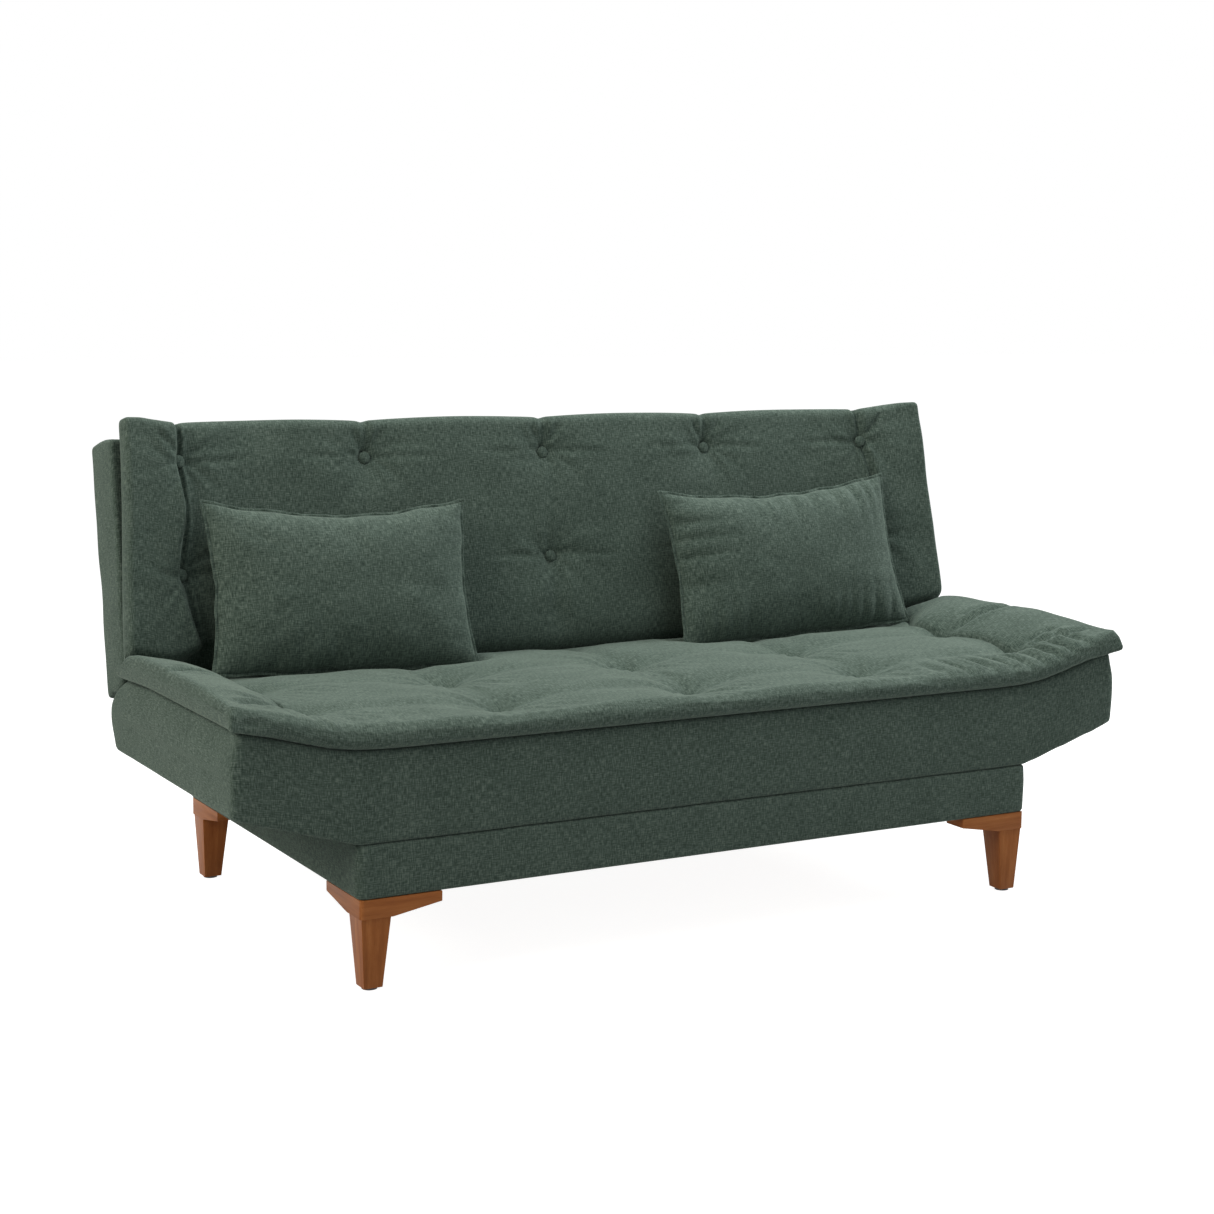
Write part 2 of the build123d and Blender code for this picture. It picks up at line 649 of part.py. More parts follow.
def leg_bracket():
    """The front left corner bracket: two arms whose lower edges rise from the post to the tips."""
    corner = -BASE_WIDTH / 2
    low = LEG_HEIGHT - BRACKET_HEIGHT
    tip = LEG_HEIGHT - BRACKET_TIP

    def arm_outline(start):
        return Polyline((start, LEG_HEIGHT), (start, low), (start + BRACKET_LEVEL, low),
                        (start + BRACKET_ARM, tip), (start + BRACKET_ARM, LEG_HEIGHT), close=True)

    bracket = across(arm_outline(corner), (0, BRACKET_WIDTH))
    bracket += along(arm_outline(0), (corner, corner + BRACKET_WIDTH))
    upright_edges = bracket.edges().filter_by(Axis.Z)
    outer = upright_edges.sort_by(lambda edge: edge.center().X + edge.center().Y)[0]
    return fillet(outer, BRACKET_ROUND) - leg_bolt(BOLT_FIT)


def leg_post():
    """The front left post: square, tapering mostly on its inner faces."""
    corner = -BASE_WIDTH / 2
    top = POST_SETBACK + POST_TOP / 2
    foot = FOOT_SETBACK + POST_FOOT / 2
    upper = Pos(corner + top, top, LEG_HEIGHT - BRACKET_HEIGHT) * Rectangle(POST_TOP, POST_TOP)
    lower = Pos(corner + foot, foot, GLIDE_HEIGHT) * Rectangle(POST_FOOT, POST_FOOT)
    return loft([lower, upper], ruled=True) - leg_bolt(BOLT_FIT)


def leg_glide():
    """The round glide under the front left post."""
    foot = FOOT_SETBACK + POST_FOOT / 2
    return upright(foot - BASE_WIDTH / 2, foot, (0, GLIDE_HEIGHT), GLIDE_RADIUS)


def corner_block():
    """The front left block that takes the leg bolt inside the base."""
    start = -INNER_HALF
    size = block((start, start + BLOCK_SIDE), (INNER_EDGE, INNER_EDGE + BLOCK_SIDE),
                 (LEG_HEIGHT, PANEL_Z))
    return size - leg_bolt(BOLT_FIT)


def base_box():
    """The rails, floor and cover of the base."""
    half = BASE_WIDTH / 2 - BASE_COVER
    tall = (LEG_HEIGHT, BASE_TOP)
    front = block((-half, half), (BASE_COVER, INNER_EDGE), tall)
    rear = block((-half, half), (BASE_DEPTH - INNER_EDGE, BASE_DEPTH - BASE_COVER), tall)
    side = block((INNER_HALF, half), (INNER_EDGE, BASE_DEPTH - INNER_EDGE), tall)
    for y, z in plate_bolt_places():
        side -= rod((0, INNER_HALF + PLATE_BOLT_LENGTH), y, z, PLATE_BOLT_RADIUS + BOLT_FIT)
    for corner, drilled in four_corners(leg_bolt(BOLT_FIT)).items():
        side -= drilled
        front -= drilled
        rear -= drilled
    panel_half = INNER_HALF - FRAME_GAP
    panel = block((-panel_half, panel_half), (INNER_EDGE + FRAME_GAP, BASE_DEPTH - INNER_EDGE - FRAME_GAP),
                  (PANEL_Z, PANEL_Z + PANEL_THICK))
    batten = block((BATTEN_PLACE - BATTEN_WIDTH / 2, BATTEN_PLACE + BATTEN_WIDTH / 2),
                   (INNER_EDGE, BASE_DEPTH - INNER_EDGE), (LEG_HEIGHT, PANEL_Z))
    shell = block((-BASE_WIDTH / 2, BASE_WIDTH / 2), (0, BASE_DEPTH), tall)
    shell = fillet(shell.edges().filter_by(Axis.Z), BASE_CORNER_ROUND)
    shell = fillet(shell.faces().sort_by(Axis.Z)[0].edges(), BASE_EDGE_ROUND)
    shell -= block((-half, half), (BASE_COVER, BASE_DEPTH - BASE_COVER), (0, 2 * BASE_TOP))
    return {"base_front_rail": front, "base_rear_rail": rear, "base_right_rail": side,
            "base_left_rail": other_side(side), "base_bottom_panel": panel,
            "base_battens": group([batten, other_side(batten)]), "base_cover": shell}


def legs():
    """Posts and brackets by corner, and the glides, bolts and blocks as groups."""
    nodes = {}
    for corner, shape in four_corners(leg_post()).items():
        nodes["leg_post_" + corner] = shape
    for corner, shape in four_corners(leg_bracket()).items():
        nodes["leg_bracket_" + corner] = shape
    nodes["leg_glides"] = group(four_corners(leg_glide()).values())
    nodes["leg_bolts"] = group(four_corners(leg_bolt()).values())
    nodes["base_corner_blocks"] = group(four_corners(corner_block()).values())
    return nodes


def cushion_outline(inset):
    """A rectangle whose sides are drawn in between its corners."""
    x = CUSHION_WIDTH / 2 - inset
    y = CUSHION_HEIGHT / 2 - inset
    dip = CUSHION_DRAW_IN * min(1.0, y / (CUSHION_HEIGHT / 2))
    return make_face([ThreePointArc((-x, -y), (0, -y + dip), (x, -y)), ThreePointArc((x, -y), (x - dip, 0), (x, y)),
                      ThreePointArc((x, y), (0, y - dip), (-x, y)), ThreePointArc((-x, y), (-x + dip, 0), (-x, -y))])


def cushion(x):
    """A crowned lumbar cushion with a flat seam flange, leaning on the back."""
    crown = ((0.0, 0.0), (0.46, 0.05), (0.8, 0.17), (1.0, 0.34))
    levels = [(-height, inset) for height, inset in reversed(crown[1:])] + list(crown)
    sections = []
    for height, inset in levels:
        outline = cushion_outline(CUSHION_FLANGE + inset * CUSHION_HEIGHT)
        sections.append(Pos(0, 0, height * CUSHION_THICK / 2) * outline)
    pillow = loft(sections)
    flange = extrude(Pos(0, 0, -CUSHION_FLANGE_THICK / 2) * cushion_outline(0.0), CUSHION_FLANGE_THICK)
    tilt = radians(CUSHION_TILT)
    lean = radians(RECLINE)
    roll = CUSHION_ROLL if x > 0 else -CUSHION_ROLL
    rise = CUSHION_HEIGHT / 2 * cos(tilt) + CUSHION_WIDTH / 2 * sin(radians(CUSHION_ROLL))
    centre_z = PAD_TOP + rise + CUSHION_CLEAR
    back_y = HINGE_Y - (HINGE_DEPTH - (centre_z - HINGE_Z) * sin(lean)) / cos(lean)
    centre_y = back_y - CUSHION_THICK / 2 / cos(tilt - lean) - CUSHION_FLANGE
    place = Plane(origin=(x, centre_y, centre_z), x_dir=(1, 0, 0), z_dir=(0, -cos(tilt), sin(tilt)))
    return place * (Rot(0, 0, roll) * (pillow + flange))


def seat_module():
    """Every piece that lifts with the seat."""
    arm = hinge_arm(SEAT_SIDE, ARM_PLACE)
    lift = lift_arm()
    pad = tufted_pad(SEAT_SIDE, SEAT_FAR + PAD_OVERHANG_FRONT, PAD_HALF, PAD_HALF, SEAT_HEEL, SEAT_TUFT_FIRST)
    nodes = {
        "seat_body": upholstered_body(SEAT_SIDE, SEAT_FAR, SEAT_WIDTH, SEAT_LOW, SEAT_HEEL, ARM_PLACE),
        "seat_pad": pad - both_ends(hinge_room()) - both_ends(arm_slot(SEAT_SIDE, ARM_PLACE)),
        "seat_lining": seat_lining(),
        "seat_springs": sinuous_springs(),
        "seat_foam": foam_slab(SEAT_SIDE, SEAT_FAR),
        "seat_hinge_arm_right": arm,
        "seat_hinge_arm_left": other_side(arm),
        "seat_arm_bolts": arm_bolts(SEAT_SIDE, ARM_PLACE),
        "hinge_pins": hinge_pins(),
        "lift_arm_right": lift,
        "lift_arm_left": other_side(lift),
        "lift_arm_screws": lift_arm_screws(),
    }
    return nodes | module_frame(SEAT_SIDE, SEAT_FAR, SEAT_WIDTH, SEAT_LOW, ARM_PLACE,
                                "seat", "_rear_rail", "_front_rail")


def back_module():
    """Every piece that reclines with the back, turned up from flat to the sitting angle."""
    pad, buttons = back_pad_and_buttons()
    arm = hinge_arm(BACK_SIDE, BACK_ARM_PLACE)
    nodes = {
        "back_body": upholstered_body(BACK_SIDE, BACK_BODY_LENGTH, BACK_WIDTH, BACK_LOW, BACK_HEEL,
                                      BACK_ARM_PLACE),
        "back_pad": pad,
        "back_buttons": buttons,
        "back_lining": module_lining(BACK_SIDE, BACK_BODY_LENGTH, BACK_LOW, LINING),
        "back_webbing": back_webbing(),
        "back_foam": foam_slab(BACK_SIDE, BACK_BODY_LENGTH),
        "back_hinge_arm_right": arm,
        "back_hinge_arm_left": other_side(arm),
        "back_arm_bolts": arm_bolts(BACK_SIDE, BACK_ARM_PLACE),
        "ratchet_drums": ratchet_drums(),
    }
    nodes |= module_frame(BACK_SIDE, BACK_BODY_LENGTH, BACK_WIDTH, BACK_LOW, BACK_ARM_PLACE,
                          "back", "_lower_rail", "_upper_rail")
    return {name: shape.rotate(HINGE_AXIS, 90 - RECLINE) for name, shape in nodes.items()}


def lift_hinge():
    """The fixed half of the lift hinge, inside the base."""
    plate = lift_plate()
    return {"lift_plate_right": plate, "lift_plate_left": other_side(plate),
            "lift_plate_bolts": lift_plate_bolts(), "lift_pins": lift_pins()}


def main():
    """Build every node, centre the sofa on its footprint and write one file per node."""
    nodes = base_box() | legs() | lift_hinge() | seat_module() | back_module()
    nodes["cushion_left"] = cushion(CUSHION_LEFT_X)
    nodes["cushion_right"] = cushion(CUSHION_RIGHT_X)
    boxes = [shape.bounding_box() for shape in nodes.values()]
    middle = (min(box.min.Y for box in boxes) + max(box.max.Y for box in boxes)) / 2
    print("hinge line y", HINGE_Y - middle, "z", HINGE_Z, "lift line y", LIFT_Y - middle, "z", LIFT_Z)
    os.makedirs("parts", exist_ok=True)
    for name, shape in nodes.items():
        export_step(Pos(0, -middle, 0) * shape, f"parts/{name}.step")


main()
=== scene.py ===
"""Looks of the futon sofa bed: tufted green upholstery, loose cushions and walnut legs.

Metres, +Z up, front towards -Y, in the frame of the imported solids. The seat and the back are two modules of
one design. Both are worked out as they lie in the bed, by x and by the distance u from the hinge line. They
are then placed: the seat forwards of the hinge line, the back turned up about it.
"""
import json
from math import cos, pi, radians, sin, tan

import bmesh
import bpy
import numpy as np
from mathutils import Matrix, Vector


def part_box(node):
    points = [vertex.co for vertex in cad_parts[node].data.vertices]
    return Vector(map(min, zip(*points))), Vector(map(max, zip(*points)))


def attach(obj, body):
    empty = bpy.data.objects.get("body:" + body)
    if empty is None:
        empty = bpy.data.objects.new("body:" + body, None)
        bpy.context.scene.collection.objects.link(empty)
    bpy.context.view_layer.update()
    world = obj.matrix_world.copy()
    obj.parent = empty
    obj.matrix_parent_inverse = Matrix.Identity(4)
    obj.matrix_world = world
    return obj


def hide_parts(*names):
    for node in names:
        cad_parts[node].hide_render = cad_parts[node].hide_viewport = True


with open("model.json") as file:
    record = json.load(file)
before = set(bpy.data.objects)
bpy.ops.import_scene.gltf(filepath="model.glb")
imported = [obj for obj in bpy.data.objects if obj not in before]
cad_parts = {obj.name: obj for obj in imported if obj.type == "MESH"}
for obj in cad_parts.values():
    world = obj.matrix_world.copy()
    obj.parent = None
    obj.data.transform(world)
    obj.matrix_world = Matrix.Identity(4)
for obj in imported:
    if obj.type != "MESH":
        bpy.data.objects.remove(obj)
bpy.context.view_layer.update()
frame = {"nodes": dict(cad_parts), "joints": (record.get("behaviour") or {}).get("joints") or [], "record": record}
nodes = frame["nodes"]
joints = {joint["name"]: joint for joint in frame["joints"]}

# Lines of the solids
HINGE_Y, HINGE_Z = joints["back_recline"]["pos_m"][1:]
UPRIGHT_TURN = -radians(joints["back_recline"]["range_deg"][0])
SEAT_LOW = 0.2444
BACK_LOW = 0.272
BODY_TOP = 0.397
PAD_LOW = 0.3973
PAD_TOP = 0.4473
CURL_START = 0.610
CURL_CENTRE = 0.897
CURL_TURN = radians(15)
BOAT_FLAT = 0.683
BOAT_SLOPE = 62 / 207
ROLL_REACH = 0.074
ROLL_RADIUS = 0.070
ROLL_END = (0.0134, 0.3423)
WING_SLOPE = radians(70)
SEAT_HEEL = 0.072
BACK_HEEL = 0.022
SEAT_HALF = 0.890
SEAT_FRONT = 0.643
SEAT_PAD_HALF = 0.903
SEAT_PAD_FRONT = 0.659
BACK_HALF = 0.882
BACK_BODY_END = 0.458
BACK_PAD_HALF = 0.900
BACK_PAD_TOP_HALF = 0.880
BACK_PAD_END = 0.482
OPENING_HALF = 0.651
OPENING_NEAR = 0.127
OPENING_BORDER = 0.044
BODY_WALL = 0.009
EYE_SPAN = (0.627, 0.666)

# How the cloth settles on them
EYE_ROOM = 0.022
EYE_FADE = 0.012
SEAT_MEETING_ROOM = 0.006
BACK_MEETING_ROOM = -0.009
PAD_THICK = 0.050
WING_THINNER = 0.004
BORDER_LEAN = 0.008
WING_SAG = 0.006
WING_REAR_SAG = 0.007
CUSHION_PRESS = 0.010
BACK_PAD_SHIFT = 0.0125
BACK_TONGUE = 0.022
FACE_SWELL = 0.004
END_SWELL = 0.009
END_ROUND = 0.016
COVER_EXTRA = 0.003
COVER_CORNER = 0.013

# Sewn places
SEAT_COLUMN_GAP = 0.375
SEAT_COLUMNS = SEAT_COLUMN_GAP * np.arange(-2, 3)
BACK_COLUMNS = np.array([-0.777, -0.392, 0.0, 0.386, 0.770])
SEAT_TUFT_ROWS = (0.296, 0.518)
SEAT_REAR_TUFT = 0.070
BACK_TUFT_ROWS = (0.206, 0.413)
BACK_LOW_TUFT = 0.075
BUTTON_RADIUS = 0.0115
BUTTON_DEPTHS = (0.0135, 0.0150, 0.0150, 0.0150, 0.0090)
PIT_FLOOR = 0.010

# Creases, each from x and u to x and u, with its depth and width
SEAT_WING_CREASES = [
    (0.765, 0.315, 0.895, 0.335, 0.008, 0.010), (0.80, 0.285, 0.88, 0.290, 0.003, 0.008),
    (0.760, 0.545, 0.875, 0.590, 0.006, 0.009), (0.765, 0.520, 0.85, 0.540, 0.004, 0.008)]
SEAT_DART = [(-0.735, 0.600, -0.735, 0.670, 0.004, 0.005)]
BACK_WING_CREASES = [
    (0.63, 0.417, 0.83, 0.408, 0.0022, 0.006), (0.69, 0.206, 0.83, 0.203, 0.0018, 0.008),
    (0.775, 0.22, 0.742, 0.06, 0.006, 0.005)]
BACK_LEFT_CREASES = [
    (-0.777, 0.50, -0.777, 0.40, 0.006, 0.004), (-0.779, 0.42, -0.767, 0.30, 0.006, 0.004),
    (-0.767, 0.32, -0.779, 0.20, 0.006, 0.004), (-0.780, 0.42, -0.825, 0.470, 0.004, 0.006)]
BACK_RIGHT_CREASES = [
    (0.764, 0.51, 0.770, 0.42, 0.007, 0.0045), (0.776, 0.42, 0.824, 0.475, 0.005, 0.0045),
    (0.774, 0.41, 0.784, 0.32, 0.007, 0.0045), (0.784, 0.34, 0.772, 0.20, 0.007, 0.0045)]
CREASE_BOW = 0.012
CREASE_LIPS = 0.35
PUCKER_WIDTH = 0.042

# Steps of the surfaces
PAD_STEP = 0.0053
BODY_STEP = 0.0070
COVER_STEP = 0.008
EDGE_STEPS = 6
FACE_STEPS = 9
CREASE_PLACE = 0.765
CREASE_SPAN = 0.025
CREASE_CLOSER = 1.6
LINE_SPACING = 2.3


def blend(value, start, end):
    """An even S from 0 at the start to 1 at the end, and flat beyond them. The end may be the smaller one."""
    t = np.clip((value - start) / (end - start), 0, 1)
    return t * t * (3 - 2 * t)


def bell(value, width):
    """A Gaussian hill: 1 where the value is 0, and 1/e at the width from there."""
    return np.exp(-(value / width) ** 2)


def folds(phase):
    """Rounded folds with sharp valleys between them, about 0: a power of the sine's size, less its mean."""
    return np.abs(np.sin(phase)) ** 0.6 - 0.74


def curled(x, level):
    """Height of a level line that bends up past CURL_START: an arc about one centre, then a straight rise."""
    radius = CURL_CENTRE - level
    past = np.abs(x) - CURL_START
    bend = radius * sin(CURL_TURN)
    arc = CURL_CENTRE - np.sqrt(radius ** 2 - np.clip(past, 0, bend) ** 2)
    return arc + np.maximum(past - bend, 0) * tan(CURL_TURN)


def hinge_edge(z, heel, low):
    """Distance from the hinge line where a module ends at height z: heel slope, round roll, then wing slope."""
    lift = np.clip(z - (PAD_TOP - ROLL_RADIUS), -ROLL_RADIUS, ROLL_RADIUS)
    roll = ROLL_REACH - np.sqrt(ROLL_RADIUS ** 2 - lift ** 2)
    slope = ROLL_END[0] + (ROLL_END[1] - z) * (heel - ROLL_END[0]) / (ROLL_END[1] - low)
    wing = ROLL_REACH + (z - PAD_TOP) / tan(WING_SLOPE)
    return np.where(z > PAD_TOP, wing, np.where(z < ROLL_END[1], slope, roll))


def wing_sag(x, u, z):
    """How far the seat's wings sit below the plain curl: a little on their arc, more towards the hinge."""
    aside = np.abs(x)
    arc = WING_SAG * blend(aside, 0.62, 0.76)
    rear = WING_REAR_SAG * blend(u, 0.25, 0.05) * blend(aside, 0.78, 0.88)
    return (arc + rear) * blend(z, 0.30, 0.39)


def seat_place(x, u, z):
    """Module coordinates to the seat's place, forwards of the hinge line, with its wings settled."""
    return np.stack([x, HINGE_Y - u, z - wing_sag(x, u, z)], axis=-1)


def back_place(x, u, z):
    """Module coordinates to the back's place: laid out rearwards, then turned up about the hinge line."""
    rise = z - HINGE_Z
    y = HINGE_Y + u * cos(UPRIGHT_TURN) - rise * sin(UPRIGHT_TURN)
    return np.stack([x, y, HINGE_Z + u * sin(UPRIGHT_TURN) + rise * cos(UPRIGHT_TURN)], axis=-1)


def soft_loops(corners, count, softness):
    """Closed loops through rows of corner points, in even steps, with every corner rounded alike.

    corners is stations x corners x 2. Each loop is resampled at equal steps of its own length, and its Fourier
    terms are damped as by a Gaussian of width softness. Returns the loops and their lengths.
    """
    closed = np.concatenate([corners, corners[:, :1]], axis=1)
    steps = np.linalg.norm(np.diff(closed, axis=1), axis=2)
    reach = np.concatenate([np.zeros((len(corners), 1)), np.cumsum(steps, axis=1)], axis=1)
    share = np.arange(count) / count
    loops = np.array([[np.interp(share * far[-1], far, line[:, k]) for k in (0, 1)]
                      for far, line in zip(reach, closed)]).transpose(0, 2, 1)
    terms = np.arange(count // 2 + 1)
    damping = np.exp(-0.5 * (2 * pi * terms * softness / reach[:, -1:]) ** 2)
    smooth = np.fft.irfft(np.fft.rfft(loops, axis=1) * damping[:, :, None], n=count, axis=1)
    return smooth, reach[:, -1]


def end_stations(half, edge_round, count, dome):
    """Stations from end to end of a cushion-ended form, as x, rounding, collapse and cloth run.

    Between the ends x goes in even steps, and in closer ones at the wing creases. Round each end edge x and the
    rounding follow a quarter circle, and on the end face the loop then collapses to its middle line while x
    swells by dome.
    """
    turn = np.linspace(0, pi / 2, EDGE_STEPS + 1)[1:]
    sink = np.linspace(0, 1, FACE_STEPS + 1)[1:]
    flat = half - edge_round
    x_side = np.concatenate([flat + edge_round * np.sin(turn), half + dome * (1 - (1 - sink) ** 2)])
    rounding = np.concatenate([1 - np.cos(turn), np.ones(len(sink))])
    collapse = np.concatenate([np.zeros(len(turn)), sink])
    run = flat + edge_round * np.concatenate([turn, np.full(len(sink), pi / 2)])
    line = np.linspace(-flat, flat, 8 * count)
    steps = np.cumsum(1 + CREASE_CLOSER * bell(np.abs(line) - CREASE_PLACE, CREASE_SPAN))
    middle = np.interp(np.linspace(steps[0], steps[-1], count), steps, line)
    still = np.zeros(count)
    lines = ((x_side, middle, -1), (rounding, still, 1), (collapse, still, 1), (run, middle, -1))
    return [np.concatenate([sign * side[::-1], between, side]) for side, between, sign in lines]


def upholstered_form(corners_at, half, step, softness, edge_round, corner_round, dome, loop_count):
    """Loops of (u, z) from end to end of a module piece, with rounded end edges and closed end faces.

    corners_at(x) gives the corners of the section at x. At the ends the loop shrinks about its middle by the
    corner round along u and the edge round along z, and then collapses to a line half its height inside its two
    sides. The points on that line go to common places, so that its upper and lower side are joined there.
    Returns x, u, z and cloth places.
    """
    x, rounding, collapse, run = end_stations(half, edge_round, int(2 * half / step), dome)
    loops, length = soft_loops(corners_at(np.clip(x, -half, half)), loop_count, softness)
    low, high = loops.min(axis=1, keepdims=True), loops.max(axis=1, keepdims=True)
    middle, reach = (low + high) / 2, (high - low) / 2
    shrink = 1 - rounding[:, None, None] * np.array([corner_round, edge_round]) / reach
    loops = middle + (loops - middle) * shrink
    reach = reach * shrink
    rim = reach[:, :, 1:]
    line_u = np.clip(loops[:, :, :1], (middle - reach)[:, :, :1] + rim, (middle + reach)[:, :, :1] - rim)
    slot = LINE_SPACING * length[:, None, None] / loop_count
    line_u = slot * np.round(line_u / slot)
    line = np.concatenate([line_u, np.broadcast_to(middle[:, :, 1:], line_u.shape)], axis=2)
    share = collapse[:, None, None]
    loops = loops * (1 - share) + line * share
    grid_x = np.broadcast_to(x[:, None], loops.shape[:2])
    run = run + np.sign(x) * rim[:, 0, 0] * collapse
    along = np.arange(loop_count) / loop_count * length[:, None]
    cloth = np.stack(np.broadcast_arrays(run[:, None], along, 0.0), axis=2)
    return grid_x, loops[:, :, 0], loops[:, :, 1], cloth


def pits(x, u, places, depth, bowl, cone, sharp):
    """How far sewn places pull a surface down: each is a wide bowl with a narrow flat-bottomed cone in it.

    sharp is the cone's share of the depth.
    """
    total = 0
    for place_x, place_u in places:
        far = np.hypot(x - place_x, u - place_u)
        total += (1 - sharp) * np.exp(-(far / bowl) ** 2 / 2)
        total += sharp * np.exp(-np.maximum(far - PIT_FLOOR, 0) / cone)
    return -depth * total


def wing_step(x, line, valley, lip):
    """The step where a wing rolls over its sewn column: a valley on the inner side, a steep lip on the outer.

    line is the crease's distance from the middle. Inside it the surface sinks towards the crease as a Gaussian,
    and within 15 mm beyond it rises to a lip that dies away over the wing.
    """
    aside = np.abs(x) - line
    over = blend(aside, -0.003, 0.012)
    return over * lip * bell(aside, 0.060) - (1 - over) * valley * bell(aside, 0.045)


def wing_rise(x, line, valley, crown, notch):
    """How a seat wing climbs out of the crease at its sewn column, which lies on the line.

    Inside the line the surface sinks to the crease as a Gaussian, outside it climbs out within 30 mm, a notch
    sharpens the crease, and a low crown swells the wing towards its outer edge.
    """
    aside = np.abs(x) - line
    sink = np.where(aside < 0, bell(aside, 0.060), np.exp(-np.maximum(aside, 0) / 0.024))
    return crown * bell(aside - 0.095, 0.040) - valley * sink - notch * bell(aside, 0.0045)


def edge_puckers(x, u, height, middle):
    """Puckers where the cloth is gathered to the front border near the wings, faint on the photo's left.

    They are rounded folds with sharp valleys between them, and run straight back from the edge.
    """
    phase = pi * x / PUCKER_WIDTH + 1.1 * np.sin(17 * x)
    wave = folds(phase) + 0.08 * np.cos(5 * phase + 0.8)
    aside = np.abs(x)
    gathered = blend(aside, 0.42, 0.58) * blend(aside, 0.87, 0.81) * np.where(x > 0, 1, 0.15)
    return height * wave * gathered * bell(u - middle, 0.052)


def fan(x, u, places, count, height, middle, spread, inwards):
    """Fine wrinkles that fan out from sewn places to the front, strongest at a middle distance.

    inwards leans the fan from straight forwards towards the middle of the seat.
    """
    total = 0
    for place_x, place_u in places:
        off_x, off_u = (x - place_x) * np.sign(-place_x or 1), u - place_u
        far = np.hypot(off_x, off_u)
        angle = np.arctan2(off_x, off_u)
        ripple = np.cos(count * angle + 0.9 * np.sin(5 * angle + place_x))
        total += ripple * bell(far - middle, spread) * blend(np.cos(angle - inwards), 0.3, 0.8)
    return height * total


def spokes(x, u, places, height, reach, seed):
    """Small folds that leave each sewn place like spokes, rise quickly and die away over the reach."""
    chance = np.random.default_rng(seed)
    total = 0
    for place_x, place_u in places:
        off_x, off_u = x - place_x, u - place_u
        far = np.hypot(off_x, off_u) / reach
        angle = np.arctan2(off_u, off_x)
        for count in (5, 8, 13):
            phase, strength = chance.uniform(0, 2 * pi), chance.uniform(0.5, 1)
            total += strength * np.sin(count * angle + phase + 1.5 * far) * far * np.exp(1 - far) / 2
    return height * total


def creases(x, u, lines):
    """Valleys along lines of x0, u0, x1, u1, depth, width: narrow troughs with lips that fade at both ends."""
    total = 0
    for x0, u0, x1, u1, depth, width in lines:
        length = np.hypot(x1 - x0, u1 - u0)
        way_x, way_u = (x1 - x0) / length, (u1 - u0) / length
        share = ((x - x0) * way_x + (u - u0) * way_u) / length
        aside = (x - x0) * way_u - (u - u0) * way_x
        aside = aside + CREASE_BOW * np.sin(pi * share) * length
        fade = blend(share, -0.08, 0.22) * blend(share, 1.08, 0.78)
        lips = CREASE_LIPS * bell(np.abs(aside) - 2.1 * width, 1.1 * width)
        total += depth * fade * (lips - bell(aside, width))
    return total


def lumps(x, u, height, size, seed):
    """A gentle unevenness: waves in seeded directions and phases, with lengths near the size."""
    chance = np.random.default_rng(seed)
    total = 0
    for _ in range(9):
        way, phase = chance.uniform(0, pi), chance.uniform(0, 2 * pi)
        pitch = 2 * pi / (size * chance.uniform(0.6, 1.7))
        total += np.sin(pitch * (x * cos(way) + u * sin(way)) + phase)
    return height * total / 3


def write_places(mesh, name, domain, places):
    """Writes places on the cloth or in the wood to a mesh, as an attribute for its finish."""
    mesh.attributes.new(name, "FLOAT_VECTOR", domain)
    mesh.attributes[name].data.foreach_set("vector", places.reshape(-1).astype(np.float32))


def read_rows(items, name, width, kind=float):
    """One property of all vertices, faces or corners of a mesh, as the rows of an array."""
    values = np.zeros(len(items) * width, kind)
    items.foreach_get(name, values)
    return values.reshape(-1, width)


def cloth_mesh(name, points, faces, cloth):
    """A mesh of points and faces that carries its cloth places."""
    mesh = bpy.data.meshes.new(name)
    mesh.from_pydata(points.tolist(), [], faces.tolist())
    write_places(mesh, "cloth", "POINT", cloth)
    return mesh


def cloth_piece(name, points, cloth, body, replaced, opening=None):
    """A piece over stations of closed loops, riding on a body.

    Faces join each loop to the next one, and a loop's last point to its first, but for those whose corners
    all lie in the opening.
    """
    rows, columns = points.shape[:2]
    index = np.arange(rows * columns).reshape(rows, columns)
    ahead = np.roll(index, -1, axis=1)
    quads = np.stack([index[:-1], ahead[:-1], ahead[1:], index[1:]], axis=-1).reshape(-1, 4)
    if opening is not None:
        quads = quads[~opening.reshape(-1)[quads].all(axis=1)]
    return finished(name, cloth_mesh(name, points.reshape(-1, 3), quads, cloth), body, replaced)


def placed(name, data):
    """A new object in the scene."""
    made = bpy.data.objects.new(name, data)
    bpy.context.scene.collection.objects.link(made)
    return made


def finished(name, mesh, body, replaced):
    """A mesh, with doubles merged and faces turned outwards, as a smooth piece in place of a body's solids."""
    shape = bmesh.new()
    shape.from_mesh(mesh)
    bmesh.ops.remove_doubles(shape, verts=shape.verts, dist=1e-5)
    bmesh.ops.recalc_face_normals(shape, faces=shape.faces)
    shape.to_mesh(mesh)
    shape.free()
    mesh.shade_smooth()
    piece = placed(name, mesh)
    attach(piece, body)
    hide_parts(*replaced)
    return piece


def clear_of_eyes(points):
    """Points pushed out from the hinge line beside the hinge eyes, so that the cloth dips round them."""
    aside = np.abs(points[..., 0])
    away_y, away_z = points[..., 1] - HINGE_Y, points[..., 2] - HINGE_Z
    inner = blend(aside, EYE_SPAN[0] - EYE_FADE, EYE_SPAN[0])
    room = EYE_ROOM * inner * blend(aside, EYE_SPAN[1] + EYE_FADE, EYE_SPAN[1])
    scale = np.maximum(room / np.maximum(np.hypot(away_y, away_z), 1e-6), 1)
    return np.stack([points[..., 0], HINGE_Y + away_y * scale, HINGE_Z + away_z * scale], axis=-1)


def meeting_edge(z, room):
    """Distance from the hinge line at which seat and back would meet at height z, less some room."""
    return room + (z - HINGE_Z) / tan((pi - UPRIGHT_TURN) / 2)


